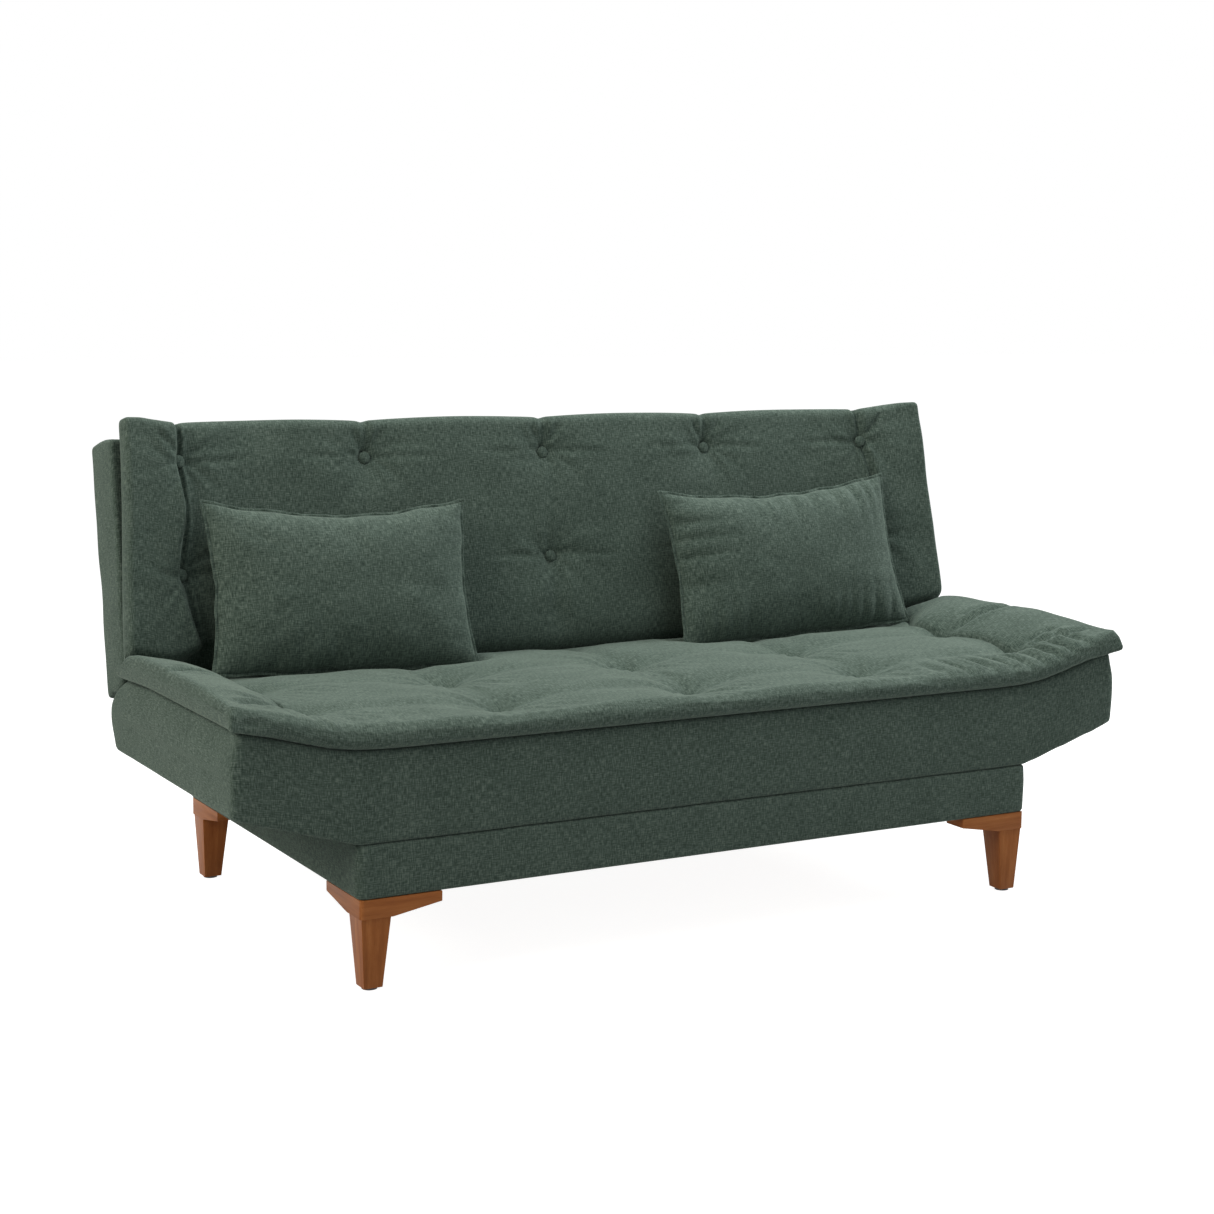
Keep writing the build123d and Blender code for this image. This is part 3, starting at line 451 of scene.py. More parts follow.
def pad_thick(x):
    """Thickness of a pad, which is less at the ends of its wings."""
    return PAD_THICK - WING_THINNER * blend(np.abs(x), 0.80, 0.90)


def pad_corners(x, far, heel, low, room, lean):
    """Corners of a pad's section: flat below, boxed at the far edge, and rolled down at the hinge edge.

    Towards the ends the roll gives way to a flat end, where the wings of seat and back meet, less the room. The
    top of the far edge is set back by the lean. The far edge's corners are sharper at the ends of the wings.
    """
    bottom, top = curled(x, PAD_LOW), curled(x, PAD_LOW + pad_thick(x))
    edge_z = bottom[:, None] + (top - bottom)[:, None] * np.linspace(1, 0, 12)
    wing = blend(np.abs(x), 0.72, 0.82)[:, None]
    edge_u = hinge_edge(edge_z, heel, low) * (1 - wing) + meeting_edge(edge_z, room) * wing
    far_u = np.broadcast_to(far, x.shape)
    ease = 1 - 0.75 * blend(np.abs(x), 0.83, 0.88)
    boxed = [((far_u + edge_u[:, -1]) / 2, bottom), (far_u - 0.018 * ease, bottom),
             (far_u - 0.001, bottom + 0.013 * ease), (far_u - lean, top - 0.012 * ease),
             (far_u - lean - 0.012 * ease, top)]
    return np.concatenate([np.array(boxed).transpose(2, 0, 1), np.stack([edge_u, edge_z], axis=2)], axis=1)


def height_share(x, z):
    """Share of a pad's thickness at which a point lies, from 0 underneath to 1 on top."""
    bottom, top = curled(x, PAD_LOW), curled(x, PAD_LOW + pad_thick(x))
    return (z - bottom) / (top - bottom)


def both_sides(lines):
    """Lines of one wing and their mirror images on the other."""
    return lines + [(-x0, u0, -x1, u1, depth, width) for x0, u0, x1, u1, depth, width in lines]


def sewn(columns, rows):
    """The sewn places where columns and rows cross."""
    return [(column, row) for column in columns for row in rows]


def cushion_press(x, u):
    """How far the cushions press the seat down under their lower edges, most at their inner corners."""
    aside = np.abs(x)
    inner = blend(aside, 0.20, 0.24) * np.interp(aside, (0.24, 0.50), (1, 0))
    whole = blend(aside, 0.19, 0.24) * blend(aside, 0.78, 0.73)
    return CUSHION_PRESS * (bell(u - 0.125, 0.036) * inner + bell(u - 0.130, 0.050) * whole)


def seat_pad():
    """The tufted seat pad: pits without buttons, deep wing creases, and wrinkles that fan out to the edges.

    The pad is crowned from front to rear. Sewn places sink it in bowls, so that the filling stands up in
    pillows between them; each wing rolls over its own column of sewn places.
    """
    x, u, z, cloth = upholstered_form(
        lambda at: pad_corners(at, SEAT_PAD_FRONT, SEAT_HEEL, SEAT_LOW, SEAT_MEETING_ROOM, BORDER_LEAN),
        SEAT_PAD_HALF, PAD_STEP, softness=0.0055, edge_round=0.008, corner_round=0.005, dome=0.002,
        loop_count=262)
    aside = np.abs(x)
    share = height_share(x, z)
    inner = sewn(SEAT_COLUMNS[1:-1], SEAT_TUFT_ROWS)
    outer = sewn(SEAT_COLUMNS[::4], SEAT_TUFT_ROWS)
    lines = both_sides(SEAT_WING_CREASES) + SEAT_DART
    lines += [(column, row, column + SEAT_COLUMN_GAP, row, 0.0025, 0.020)
              for column, row in sewn(SEAT_COLUMNS[:-1], SEAT_TUFT_ROWS)]
    lines += [(column, SEAT_REAR_TUFT, column, SEAT_TUFT_ROWS[1], 0.004, 0.022)
              for column in SEAT_COLUMNS[1:-1]]
    hollow = blend(u, 0.21, 0.12)
    wing_line = SEAT_COLUMNS[-1] + 0.006 * bell(u - 0.41, 0.05) + 0.040 * hollow
    along = blend(u, 0.03, 0.10) * blend(u, 0.60, 0.52)
    drop = 0.002 - 0.010 * blend(u, 0.44, 0.64) - 0.012 * blend(u, 0.22, 0.04) - cushion_press(x, u)
    drop += pits(x, u, inner, depth=0.036, bowl=0.066, cone=0.018, sharp=0.36)
    drop += pits(x, u, outer, depth=0.016, bowl=0.034, cone=0.014, sharp=0.5)
    drop += pits(x, u, [(0.0, SEAT_REAR_TUFT)], depth=0.014, bowl=0.040, cone=0.020, sharp=0.3)
    drop += wing_rise(x, wing_line, valley=0.015 + 0.008 * hollow, crown=0.004, notch=0.013) * along
    drop += spokes(x, u, inner, height=0.0020, reach=0.045, seed=3) + creases(x, u, lines)
    drop += fan(x, u, inner, count=26, height=0.0012, middle=0.09, spread=0.05, inwards=0.0)
    drop += fan(x, u, outer, count=30, height=0.0006, middle=0.10, spread=0.05, inwards=0.75)
    drop += edge_puckers(x, u, height=0.0190, middle=0.598)
    past = np.clip(aside - SEAT_PAD_HALF + END_ROUND, 0, END_ROUND)
    rounded = END_ROUND - np.sqrt(END_ROUND ** 2 - past ** 2)
    drop -= 0.8 * rounded * blend(u, SEAT_PAD_FRONT - 0.012, SEAT_PAD_FRONT - 0.042)
    drop -= 0.007 * blend(u, 0.12, 0.07) * blend(aside, 0.83, 0.89)
    z = z + blend(share, 0.45, 0.95) * (drop + lumps(x, u, height=0.0012, size=0.16, seed=5))
    border = bell(share - 0.5, 0.4) * blend(u, 0.60, 0.64)
    u = u + border * lumps(x, 3 * z, height=0.0012, size=0.05, seed=8)
    corner = bell(np.hypot(aside - SEAT_PAD_HALF, u - SEAT_PAD_FRONT), 0.018)
    slant = corner * (0.007 - 0.014 * np.clip(share, 0, 1))
    x, u = x + slant * np.sign(x), u + slant
    return cloth_piece("seat_pad_cover", clear_of_eyes(seat_place(x, u, z)), cloth, "seat", ["seat_pad"])


def back_edge(x):
    """The back pad's top edge: scalloped between the button columns, notched at them, higher at the ends."""
    share = np.interp(x, BACK_COLUMNS, np.arange(len(BACK_COLUMNS))) % 1
    notch = sum(bell(x - column, 0.010) for column in BACK_COLUMNS)
    corner = blend(np.abs(x), BACK_COLUMNS[-1], BACK_COLUMNS[-1] + 0.10)
    return BACK_PAD_END + 0.003 + 0.022 * share * (1 - share) - 0.0025 * notch + 0.008 * corner


def narrowed(x, u):
    """x drawn in towards the back pad's top edge, which is the shorter one."""
    return x * (1 + (BACK_PAD_TOP_HALF / BACK_PAD_HALF - 1) * blend(u, 0, BACK_PAD_END))


def back_pad():
    """The buttoned back pad: pits at the buttons, creases between them, and a scalloped top edge."""
    x, u, z, cloth = upholstered_form(
        lambda at: pad_corners(at, back_edge(at), BACK_HEEL, BACK_LOW, BACK_MEETING_ROOM, lean=0.0),
        BACK_PAD_HALF, PAD_STEP, softness=0.0065, edge_round=0.011, corner_round=0.007, dome=0.002,
        loop_count=230)
    middle = BACK_COLUMNS[1:-1]
    high = BACK_TUFT_ROWS[1]
    inner = sewn(middle, BACK_TUFT_ROWS)
    outer = sewn(BACK_COLUMNS[::4], BACK_TUFT_ROWS)
    lines = both_sides(BACK_WING_CREASES) + BACK_LEFT_CREASES + BACK_RIGHT_CREASES
    lines += [(column - 0.15, row + 0.003, column + 0.15, row - 0.004, 0.0016, 0.006)
              for column, row in inner]
    for column in middle:
        lines += [(column, 0.08, column, 0.20, 0.004, 0.016),
                  (column, high, column + 0.006, 0.50, 0.006, 0.007),
                  (column, high, column - 0.03, 0.47, 0.003, 0.006),
                  (column, high, column + 0.04, 0.47, 0.003, 0.006)]
    right = x > 0
    bend = np.where(right, 0.010, -0.014) * bell(u - 0.32, 0.05)
    wing_line = np.where(right, 0.772, 0.779) + bend - 0.045 * bell(u - 0.05, 0.09)
    step = wing_step(x, wing_line, valley=0.009, lip=0.010) * np.where(right, 0.45, 1)
    drop = 0.005 * blend(u, BACK_PAD_END, BACK_PAD_END - 0.08) + step * blend(u, 0.02, 0.08)
    drop += pits(x, u, inner, depth=0.021, bowl=0.040, cone=0.011, sharp=0.42)
    drop += pits(x, u, outer, depth=0.014, bowl=0.036, cone=0.011, sharp=0.42)
    drop += pits(x, u, sewn(middle, [BACK_LOW_TUFT]), depth=0.010, bowl=0.030, cone=0.020, sharp=0.4)
    drop += spokes(x, u, sewn(BACK_COLUMNS, BACK_TUFT_ROWS), height=0.0018, reach=0.036, seed=11)
    drop += creases(x, u, lines) + lumps(x, u, height=0.0012, size=0.18, seed=13)
    z = z + blend(height_share(x, z), 0.35, 0.85) * drop
    x = narrowed(x, u)
    x = x + BACK_PAD_SHIFT * blend(np.abs(x), 0.79, 0.86)
    return cloth_piece("back_pad_cover", clear_of_eyes(back_place(x, u, z)), cloth, "back", ["back_pad"])


def boat_bottom(x, low):
    """Height of a body's underside: level in the middle, and sloping up past BOAT_FLAT."""
    return low + np.maximum(np.abs(x) - BOAT_FLAT, 0) * BOAT_SLOPE


def body_corners(x, far, heel, low, tongue):
    """Corners of a module body's section: boat bottom, plain far face, curled top and round hinge roll.

    Below the roll the hinge edge reaches further out by the tongue.
    """
    bottom, top = boat_bottom(x, low), curled(x, BODY_TOP)
    edge_z = bottom[:, None] + (top - bottom)[:, None] * np.linspace(1, 0, 16)
    edge_u = hinge_edge(edge_z, heel, low) - tongue * blend(edge_z, 0.370, 0.330)
    far_u = np.broadcast_to(far, x.shape)
    face = [((far_u + edge_u[:, -1]) / 2, bottom), (far_u, bottom), (far_u, top)]
    return np.concatenate([np.array(face).transpose(2, 0, 1), np.stack([edge_u, edge_z], axis=2)], axis=1)


def module_body(body, place, half, far, heel, low, tongue, fuller, seed):
    """The upholstered body of seat or back: a shell with an opening underneath, where its lining closes it.

    Its far face swells a little, and its ends swell by fuller, but for their upper edges.
    """
    x, u, z, cloth = upholstered_form(
        lambda at: body_corners(at, far, heel, low, tongue), half, BODY_STEP, softness=0.0045,
        edge_round=0.010, corner_round=0.010, dome=0.0015, loop_count=208)
    bottom = boat_bottom(x, low)
    height = (z - bottom) / (curled(x, BODY_TOP) - bottom)
    swell = FACE_SWELL * np.clip(4 * height * (1 - height), 0, 1)
    u = u + (swell + lumps(x, z, height=0.0008, size=0.12, seed=seed)) * blend(u, far - 0.03, far)
    ends = blend(np.abs(x), half - 0.004, half) * np.sign(x)
    x = x + ends * lumps(u, z, height=0.0008, size=0.13, seed=seed + 1)
    x = x + fuller * np.sign(x) * blend(np.abs(x), half - 0.010, half) * blend(height, 1, 0.6)
    open_below = (np.abs(x) < OPENING_HALF) & (z < low + 0.002)
    open_below &= (u > OPENING_NEAR) & (u < far - OPENING_BORDER)
    points = clear_of_eyes(place(x, u, z))
    piece = cloth_piece(body + "_body_cover", points, cloth, body, [body + "_body"], open_below)
    wall = piece.modifiers.new("wall", "SOLIDIFY")
    wall.thickness = BODY_WALL
    wall.offset = -1
    return piece


def base_cover():
    """The base's fabric cover: a wall section carried round a rounded rectangle.

    The path goes round the base with quarter circles at its corners. The section runs up the outside, over
    the top rim with a flap on the rails, and down the inside. Its points lie at given depths inside the path.
    """
    low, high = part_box("base_cover")
    low.x, high.x = low.x - COVER_EXTRA, high.x + COVER_EXTRA
    turn = np.linspace(0, pi / 2, 9)
    angle = (turn + np.arange(4)[:, None] * pi / 2).reshape(-1)
    left, right = low.x + COVER_CORNER, high.x - COVER_CORNER
    front, rear = low.y + COVER_CORNER, high.y - COVER_CORNER
    path = np.stack([np.repeat([right, left, left, right], len(turn)),
                     np.repeat([rear, rear, front, front], len(turn)), np.cos(angle), np.sin(angle)], axis=1)
    path = np.concatenate([path, path[:1]])
    outline = path[:, :2] + COVER_CORNER * path[:, 2:]
    reach = np.concatenate([[0], np.cumsum(np.linalg.norm(np.diff(outline, axis=0), axis=1))])
    even = np.arange(0, reach[-1], COVER_STEP)
    centre_x, centre_y, way_x, way_y = (np.interp(even, reach, path[:, k]) for k in range(4))
    size = np.hypot(way_x, way_y)
    way_x, way_y = way_x / size, way_y / size
    depth = np.array([0.0052, 0.0035, 0.0012] + [0] * 10
                     + [0.0008, 0.0025, 0.0045] + [0.0125] * 2 + [0.0056] * 3)
    rise = np.array([0, 0.0006, 0.0022, 0.0045, 0.012, 0.02, 0.03, 0.04, 0.05, 0.06, 0.07, 0.078, 0.085,
                     0.088, 0.0898, 0.0902, 0.0902, 0.0894, 0.0889, 0.06, 0.002])
    outside = (depth == 0) * np.sin(pi * np.clip(rise / 0.09, 0, 1))
    uneven = lumps(even[:, None], rise[None, :], height=0.0007, size=0.09, seed=21)
    out = COVER_CORNER - depth[None, :] + outside[None, :] * (0.0015 + uneven)
    points = np.stack(np.broadcast_arrays(centre_x[:, None] + way_x[:, None] * out,
                                          centre_y[:, None] + way_y[:, None] * out, low.z + rise), axis=2)
    points = np.concatenate([points, points[:1]])
    around = np.concatenate([even, reach[-1:]])[:, None]
    up = np.cumsum(np.hypot(np.diff(depth, prepend=0), np.diff(rise, prepend=0)))
    cloth = np.stack(np.broadcast_arrays(around, up, 0.0), axis=2)
    return cloth_piece("base_cover_fabric", points, cloth, "base", ["base_cover"])


def buttons():
    """Ten covered buttons in one piece: a turned profile with small radial puckers under its rim.

    They lean with the pad's curled face and sit in it by the depth of their column.
    """
    radius = BUTTON_RADIUS * np.array([0.0, 0.25, 0.5, 0.72, 0.88, 0.97, 1.0, 0.98, 0.9, 0.8, 0.0])
    rise = np.array([0.0066, 0.0065, 0.0061, 0.0054, 0.0044, 0.0032, 0.002, 0.001, 0.0002, 0.0, 0.0])
    angle = np.linspace(0, 2 * pi, 33)[:-1]
    pucker = 1 + 0.025 * np.cos(8 * angle)[:, None] * np.clip(radius / BUTTON_RADIUS - 0.8, 0, 1) * 5
    local_x, local_u = radius * pucker * np.cos(angle)[:, None], radius * pucker * np.sin(angle)[:, None]
    vertices, faces, cloth = [], [], []
    index = np.arange(local_x.size).reshape(local_x.shape)
    ahead = np.roll(index, -1, axis=0)
    quads = np.stack([index[:, :-1], ahead[:, :-1], ahead[:, 1:], index[:, 1:]], axis=-1).reshape(-1, 4)
    for number, (column, row) in enumerate(sewn(BACK_COLUMNS, BACK_TUFT_ROWS)):
        lean = -CURL_TURN * np.sign(column) * (abs(column) > CURL_START)
        floor = curled(column, PAD_TOP) - BUTTON_DEPTHS[number // len(BACK_TUFT_ROWS)]
        x = narrowed(column, row) + local_x * cos(lean) + rise * sin(lean)
        z = floor - local_x * sin(lean) + rise * cos(lean)
        vertices.append(back_place(x, row + local_u, z).reshape(-1, 3))
        faces.append(quads + number * local_x.size)
        cloth.append(np.stack([local_x, local_u, 0 * local_x], axis=2).reshape(-1, 3))
    mesh = cloth_mesh("back_button_covers", *(np.concatenate(rows) for rows in (vertices, faces, cloth)))
    return finished("back_button_covers", mesh, "back", ["back_buttons"])


# Cushions
CUSHION_TALL = 0.163
CUSHION_SEAM = 0.0042
CUSHION_HALF_THICK = 0.060
CUSHION_TILT = radians(17)
CUSHION_CROWN = 0.046
CUSHION_GRID = (93, 57)
CUSHION_RIM_STEP = 0.0057
DRAWN_IN_ENDS = 0.016
DRAWN_IN_EDGES = (-0.002, 0.029)
EDGE_STRIP = ((-0.004, 0.0010), (0.0005, 0.0014), (0.003, 0.0013), (CUSHION_SEAM, 0.0),
              (0.003, -0.0013), (0.0005, -0.0014), (-0.004, -0.0010))
CASE_CLOTH = {"quality": 6, "mass": 0.25, "tension_stiffness": 40, "compression_stiffness": 25,
              "shear_stiffness": 12, "bending_stiffness": 0.25, "use_pressure": True,
              "uniform_pressure_force": 3.5, "vertex_group_mass": "seam"}
CASE_FRAMES = 30
CASE_LONGEST_MOVE = 0.08


def cushion_grid(half_wide, seed):
    """A pillow case sewn from two panels, as points on a front and a back grid that share their rim.

    The rim is a rectangle whose sides are drawn in between its corners by the filling, most at the middle, with
    a little seeded waviness; the height is a crown with seeded unevenness, enough to start the filling off.
    """
    s, t = np.meshgrid(*(np.linspace(-1, 1, count) for count in CUSHION_GRID), indexing="ij")
    wide, tall = half_wide - CUSHION_SEAM, CUSHION_TALL - CUSHION_SEAM
    x = s * (wide - DRAWN_IN_ENDS * (1 - t ** 2) + lumps(t, s, 0.0015, 0.5, seed + 3) * (1 - t ** 4))
    drawn_in = np.interp(t, (-1, 1), DRAWN_IN_EDGES)
    y = t * (tall - drawn_in * (1 - s ** 2) + lumps(s, t, 0.0022, 0.4, seed + 4) * (1 - s ** 4))
    crown = CUSHION_CROWN * ((1 - s ** 4) * (1 - t ** 4)) ** 0.75
    uneven = lumps(x, y, 0.0015, 0.08, seed) * (1 - s ** 4) * (1 - t ** 4)
    return x, y, crown + uneven, crown - uneven


def filled_case(name, half_wide, seed):
    """The pillow case blown up by cloth simulation to the filling's volume, as local points of its two faces.

    Returns the points, the faces by grid number, the point of each grid number, and which of them are the rim.
    """
    x, y, front, back = cushion_grid(half_wide, seed)
    size = x.size
    vertices = np.concatenate([np.stack([x, y, face], 2).reshape(-1, 3) for face in (front, -back)])
    index = np.arange(size).reshape(x.shape)
    quads = np.stack([index[:-1, :-1], index[1:, :-1], index[1:, 1:], index[:-1, 1:]], -1).reshape(-1, 4)
    rim = np.ones(x.shape, bool)
    rim[1:-1, 1:-1] = False
    twin = np.where(rim.reshape(-1), np.arange(size), np.arange(size) + size)
    faces = np.concatenate([quads, twin[quads[:, ::-1]]])
    used, packed = np.unique(faces, return_inverse=True)
    points = vertices[used]
    mesh = bpy.data.meshes.new(name)
    mesh.from_pydata(points.tolist(), [], packed.reshape(-1, 4).tolist())
    case = placed(name, mesh)
    seam = case.vertex_groups.new(name="seam")
    seam.add(np.flatnonzero(rim.reshape(-1)).tolist(), 1.0, "REPLACE")
    points = blown_up(case, points)
    bpy.data.objects.remove(case)
    points = points * np.array([1, 1, CUSHION_HALF_THICK / np.abs(points[:, 2]).max()])
    place = np.full(2 * size, -1)
    place[used] = np.arange(len(used))
    return points, faces, place, rim


def blown_up(case, start):
    """Steps the cloth simulation of a closed case. Returns its points, none moved further than the cap."""
    cloth = case.modifiers.new("cloth", "CLOTH")
    for setting, value in CASE_CLOTH.items():
        setattr(cloth.settings, setting, value)
    cloth.settings.effector_weights.gravity = 0
    cloth.collision_settings.use_self_collision = False
    cloth.collision_settings.use_collision = False
    cloth.point_cache.frame_start = 1
    cloth.point_cache.frame_end = 40
    scene = bpy.context.scene
    for step in range(1, CASE_FRAMES + 1):
        scene.frame_set(step)
    shown = case.evaluated_get(bpy.context.evaluated_depsgraph_get())
    points = read_rows(shown.to_mesh().vertices, "co", 3)
    shown.to_mesh_clear()
    scene.frame_set(1)
    move = points - start
    far = np.linalg.norm(move, axis=1, keepdims=True)
    return start + move * np.minimum(1, CASE_LONGEST_MOVE / np.maximum(far, 1e-9))


def seam_puckers(points, half_wide, height, side, seed):
    """Puckers that run in from a cushion's seam, rise within 30 mm of it and die away, as heights at points.

    They are rounded folds with sharp valleys, about 40 mm wide along the upper and lower sides and 55 mm along
    the ends. They are stronger along some stretches than along others, and faint at the end on the given side.
    """
    def gathers(along, width, wander):
        return 2 * folds(pi * along / width + 1.6 * np.sin(along * wander + seed))

    def near_seam(far, other):
        return far * np.exp(1 - far) * np.minimum(other / 2, 1)

    wide, tall = half_wide - CUSHION_SEAM, CUSHION_TALL - CUSHION_SEAM
    from_end = np.maximum(wide - np.abs(points[:, 0]), 0) / 0.030
    from_edge = np.maximum(tall - np.abs(points[:, 1]), 0) / 0.024
    along_edge = points[:, 0] + 0.3 * wide * np.sign(points[:, 1])
    along_end = points[:, 1] + 0.3 * tall * np.sign(points[:, 0])
    strength = 0.55 + 0.45 * np.sin(along_edge * 9 + 2 * seed)
    end_strength = np.where(points[:, 0] * side < 0, 0.6, 0.15)
    edge = strength * gathers(along_edge, 0.040, 19) * near_seam(from_edge, from_end)
    end = end_strength * gathers(along_end, 0.055, 23) * near_seam(from_end, from_edge)
    return height * (edge + end) * np.sign(points[:, 2])


def cushion(name, half_wide, centre, roll, pucker, seed):
    """A filled lumbar cushion with a narrow sewn edge round its rim, leaning on the back.

    The edge is a strip that leaves the seam in the rim's own plane, doubled for its thickness. Local x runs
    along the cushion, y up it and z out of its face; the cushion is rolled in its plane, tilted and placed.
    """
    points, faces, place, rim = filled_case(name, half_wide, seed)
    points[:, 2] += seam_puckers(points, half_wide, pucker, np.sign(centre[0]), seed)
    rows, columns = rim.shape
    across, upward = np.arange(rows), np.arange(columns)
    ring_row = np.concatenate([across, 0 * upward[1:] + rows - 1, across[-2::-1], 0 * upward[1:-1]])
    ring_column = np.concatenate([0 * across, upward[1:], 0 * across[1:] + columns - 1, upward[-2:0:-1]])
    seam = points[place[ring_row * columns + ring_column]]
    still = np.zeros(len(seam))
    s, t = 2 * ring_row / (rows - 1) - 1, 2 * ring_column / (columns - 1) - 1
    out = np.stack([s * (np.abs(s) == 1), t * (np.abs(t) == 1), still], 1)
    out = sum(np.roll(out, step, axis=0) for step in range(-2, 3))
    out /= np.linalg.norm(out, axis=1, keepdims=True)
    run = np.arange(len(seam)) * CUSHION_RIM_STEP
    wave = 0.0010 * np.sin(2 * pi * run / 0.057 + seed) + 0.0008 * np.sin(2 * pi * run / 0.031)
    corner = 1 + 0.25 * np.exp(-((np.abs(s) - 1) ** 2 + (np.abs(t) - 1) ** 2) / 0.004)
    strips = []
    for distance, thick in EDGE_STRIP:
        lift = np.stack([still, still, thick + wave * distance / CUSHION_SEAM], 1)
        strips.append(seam + out * (distance * corner)[:, None] + lift)
    strip = np.stack(strips, axis=1)
    index = len(points) + np.arange(strip.shape[0] * strip.shape[1]).reshape(strip.shape[:2])
    ahead = np.roll(index, -1, axis=0)
    band = np.stack([index, np.roll(index, -1, axis=1), np.roll(ahead, -1, axis=1), ahead], -1).reshape(-1, 4)
    local = np.concatenate([points, strip.reshape(-1, 3)])
    turned = np.array(Matrix.Rotation(roll, 3, "Z"))
    stood = np.array(Matrix.Rotation(pi / 2 - CUSHION_TILT, 3, "X"))
    cloth = np.stack([local[:, 0], local[:, 1] + (local[:, 2] < 0), 0 * local[:, 0]], 1)
    mesh = cloth_mesh(name + "_cover", local @ turned.T @ stood.T + centre,
                      np.concatenate([place[faces], band]), cloth)
    piece = finished(name + "_cover", mesh, name, [name])
    finer = piece.modifiers.new("finer", "SUBSURF")
    finer.levels = finer.render_levels = 1
    return piece


def rounded_wood(node):
    """A leg piece with its edges eased: the solid's merged copy with a bevel, and its grain as an attribute.

    The grain runs up a post. On a bracket each face has it along the arm that it belongs to, by its normal.
    """
    shape = bmesh.new()
    shape.from_mesh(nodes[node].data)
    bmesh.ops.remove_doubles(shape, verts=shape.verts, dist=1e-6)
    bmesh.ops.dissolve_limit(shape, angle_limit=radians(3), verts=shape.verts, edges=shape.edges)
    mesh = bpy.data.meshes.new(node + "_wood")
    shape.to_mesh(mesh)
    shape.free()
    grain = read_rows(mesh.vertices, "co", 3)[read_rows(mesh.loops, "vertex_index", 1, np.int32)[:, 0]]
    if "bracket" in node:
        sides = read_rows(mesh.polygons, "loop_total", 1, np.int32)[:, 0]
        facing = np.abs(np.repeat(read_rows(mesh.polygons, "normal", 3), sides, axis=0))
        sideways = facing[:, 0] > facing[:, 1]
        grain = np.where(sideways[:, None], grain[:, [0, 2, 1]], grain[:, [1, 2, 0]])
    write_places(mesh, "grain", "CORNER", grain)
    piece = finished(node + "_wood", mesh, "base", [node])
    ease = piece.modifiers.new("ease", "BEVEL")
    ease.width = 0.0022
    ease.segments = 3
    ease.limit_method = "ANGLE"
    ease.angle_limit = radians(28)
    ease.harden_normals = True
    return piece


# Finishes


class Value:
    """A shader socket in an expression: each operator adds one Math node."""

    def __init__(self, finish, socket):
        self.finish, self.socket = finish, socket

    def math(self, operation, other):
        return self.finish.node("ShaderNodeMath", {"operation": operation}, {0: self, 1: other})

    def __add__(self, other):
        return self.math("ADD", other)

    def __mul__(self, other):
        return self.math("MULTIPLY", other)



class Finish:
    """A material: a Principled shader with its constants, and the nodes that feed it."""

    def __init__(self, name, **constants):
        self.material = bpy.data.materials.new(name)
        self.material.use_nodes = True
        self.tree = self.material.node_tree
        self.shader = self.tree.nodes["Principled BSDF"]
        for socket, value in constants.items():
            self.shader.inputs[socket.replace("_", " ")].default_value = value

    def node(self, kind, settings, sockets, output=0):
        """A node of one kind: its settings, a ramp's stops among them, then its sockets' values or links."""
        made = self.tree.nodes.new(kind)
        for setting, value in settings.items():
            if setting == "stops":
                while len(made.color_ramp.elements) < len(value):
                    made.color_ramp.elements.new(1.0)
                for element, (position, colour) in zip(made.color_ramp.elements, value):
                    element.position = position
                    element.color = (*colour, 1.0)
            else:
                setattr(made, setting, value)
        for socket, value in sockets.items():
            target = made.inputs[socket]
            if isinstance(value, Value):
                self.tree.links.new(value.socket, target)
            else:
                target.default_value = value
        return Value(self, made.outputs[output])

    def feed(self, socket, value):
        """Links a value to one of the shader's own sockets."""
        self.tree.links.new(value.socket, self.shader.inputs[socket])

    def place(self, attribute=None):
        """Where a point lies: the piece's own attribute, or else its Object coordinates."""
        if attribute:
            return self.node("ShaderNodeAttribute", {"attribute_name": attribute}, {}, "Vector")
        return self.node("ShaderNodeTexCoord", {}, {}, "Object")

    def noise(self, vector, stretch, detail=2.0):
        """Noise from 0 to 1 with features 1/stretch metres long each way."""
        mapped = self.node("ShaderNodeMapping", {}, {"Vector": vector, "Scale": stretch})
        return self.node("ShaderNodeTexNoise", {}, {"Vector": mapped, "Scale": 1.0, "Detail": detail})

    def ramp(self, factor, stops):
        """A colour from stops of position and colour."""
        return self.node("ShaderNodeValToRGB", {"stops": stops}, {"Fac": factor})

    def bump(self, height, distance, strength=1.0):
        """Feeds the shader's normal from a height."""
        self.feed("Normal", self.node("ShaderNodeBump", {}, {"Height": height, "Distance": distance,
                                                             "Strength": strength}))


def green_fabric():
    """Melange linen weave: dark and pale green yarns that run both ways, with slubs and broad unevenness."""
    finish = Finish("green_fabric", Roughness=0.92, Sheen_Weight=0.25, Sheen_Roughness=0.45,
                    Specular_IOR_Level=0.15)
    finish.shader.inputs["Sheen Tint"].default_value = (0.62, 0.75, 0.66, 1)
    cloth = finish.place("cloth")
    warp = finish.noise(cloth, (560, 85, 1), 1.0)
    weft = finish.noise(cloth, (85, 560, 1), 1.0)
    speck = finish.noise(cloth, (950, 950, 1), 1.0)
    broad = finish.noise(cloth, (14, 14, 1), 3.0)
    tone = warp * 0.42 + weft * 0.36 + speck * 0.14 + broad * 0.08
    finish.feed("Base Color", finish.ramp(tone, [(0.38, (0.032, 0.050, 0.040)), (0.5, (0.069, 0.100, 0.081)),
                                                 (0.62, (0.135, 0.178, 0.148))]))
    finish.bump(warp * 0.5 + weft * 0.5 + speck * 0.4, 0.0009, 0.6)
    return finish.material


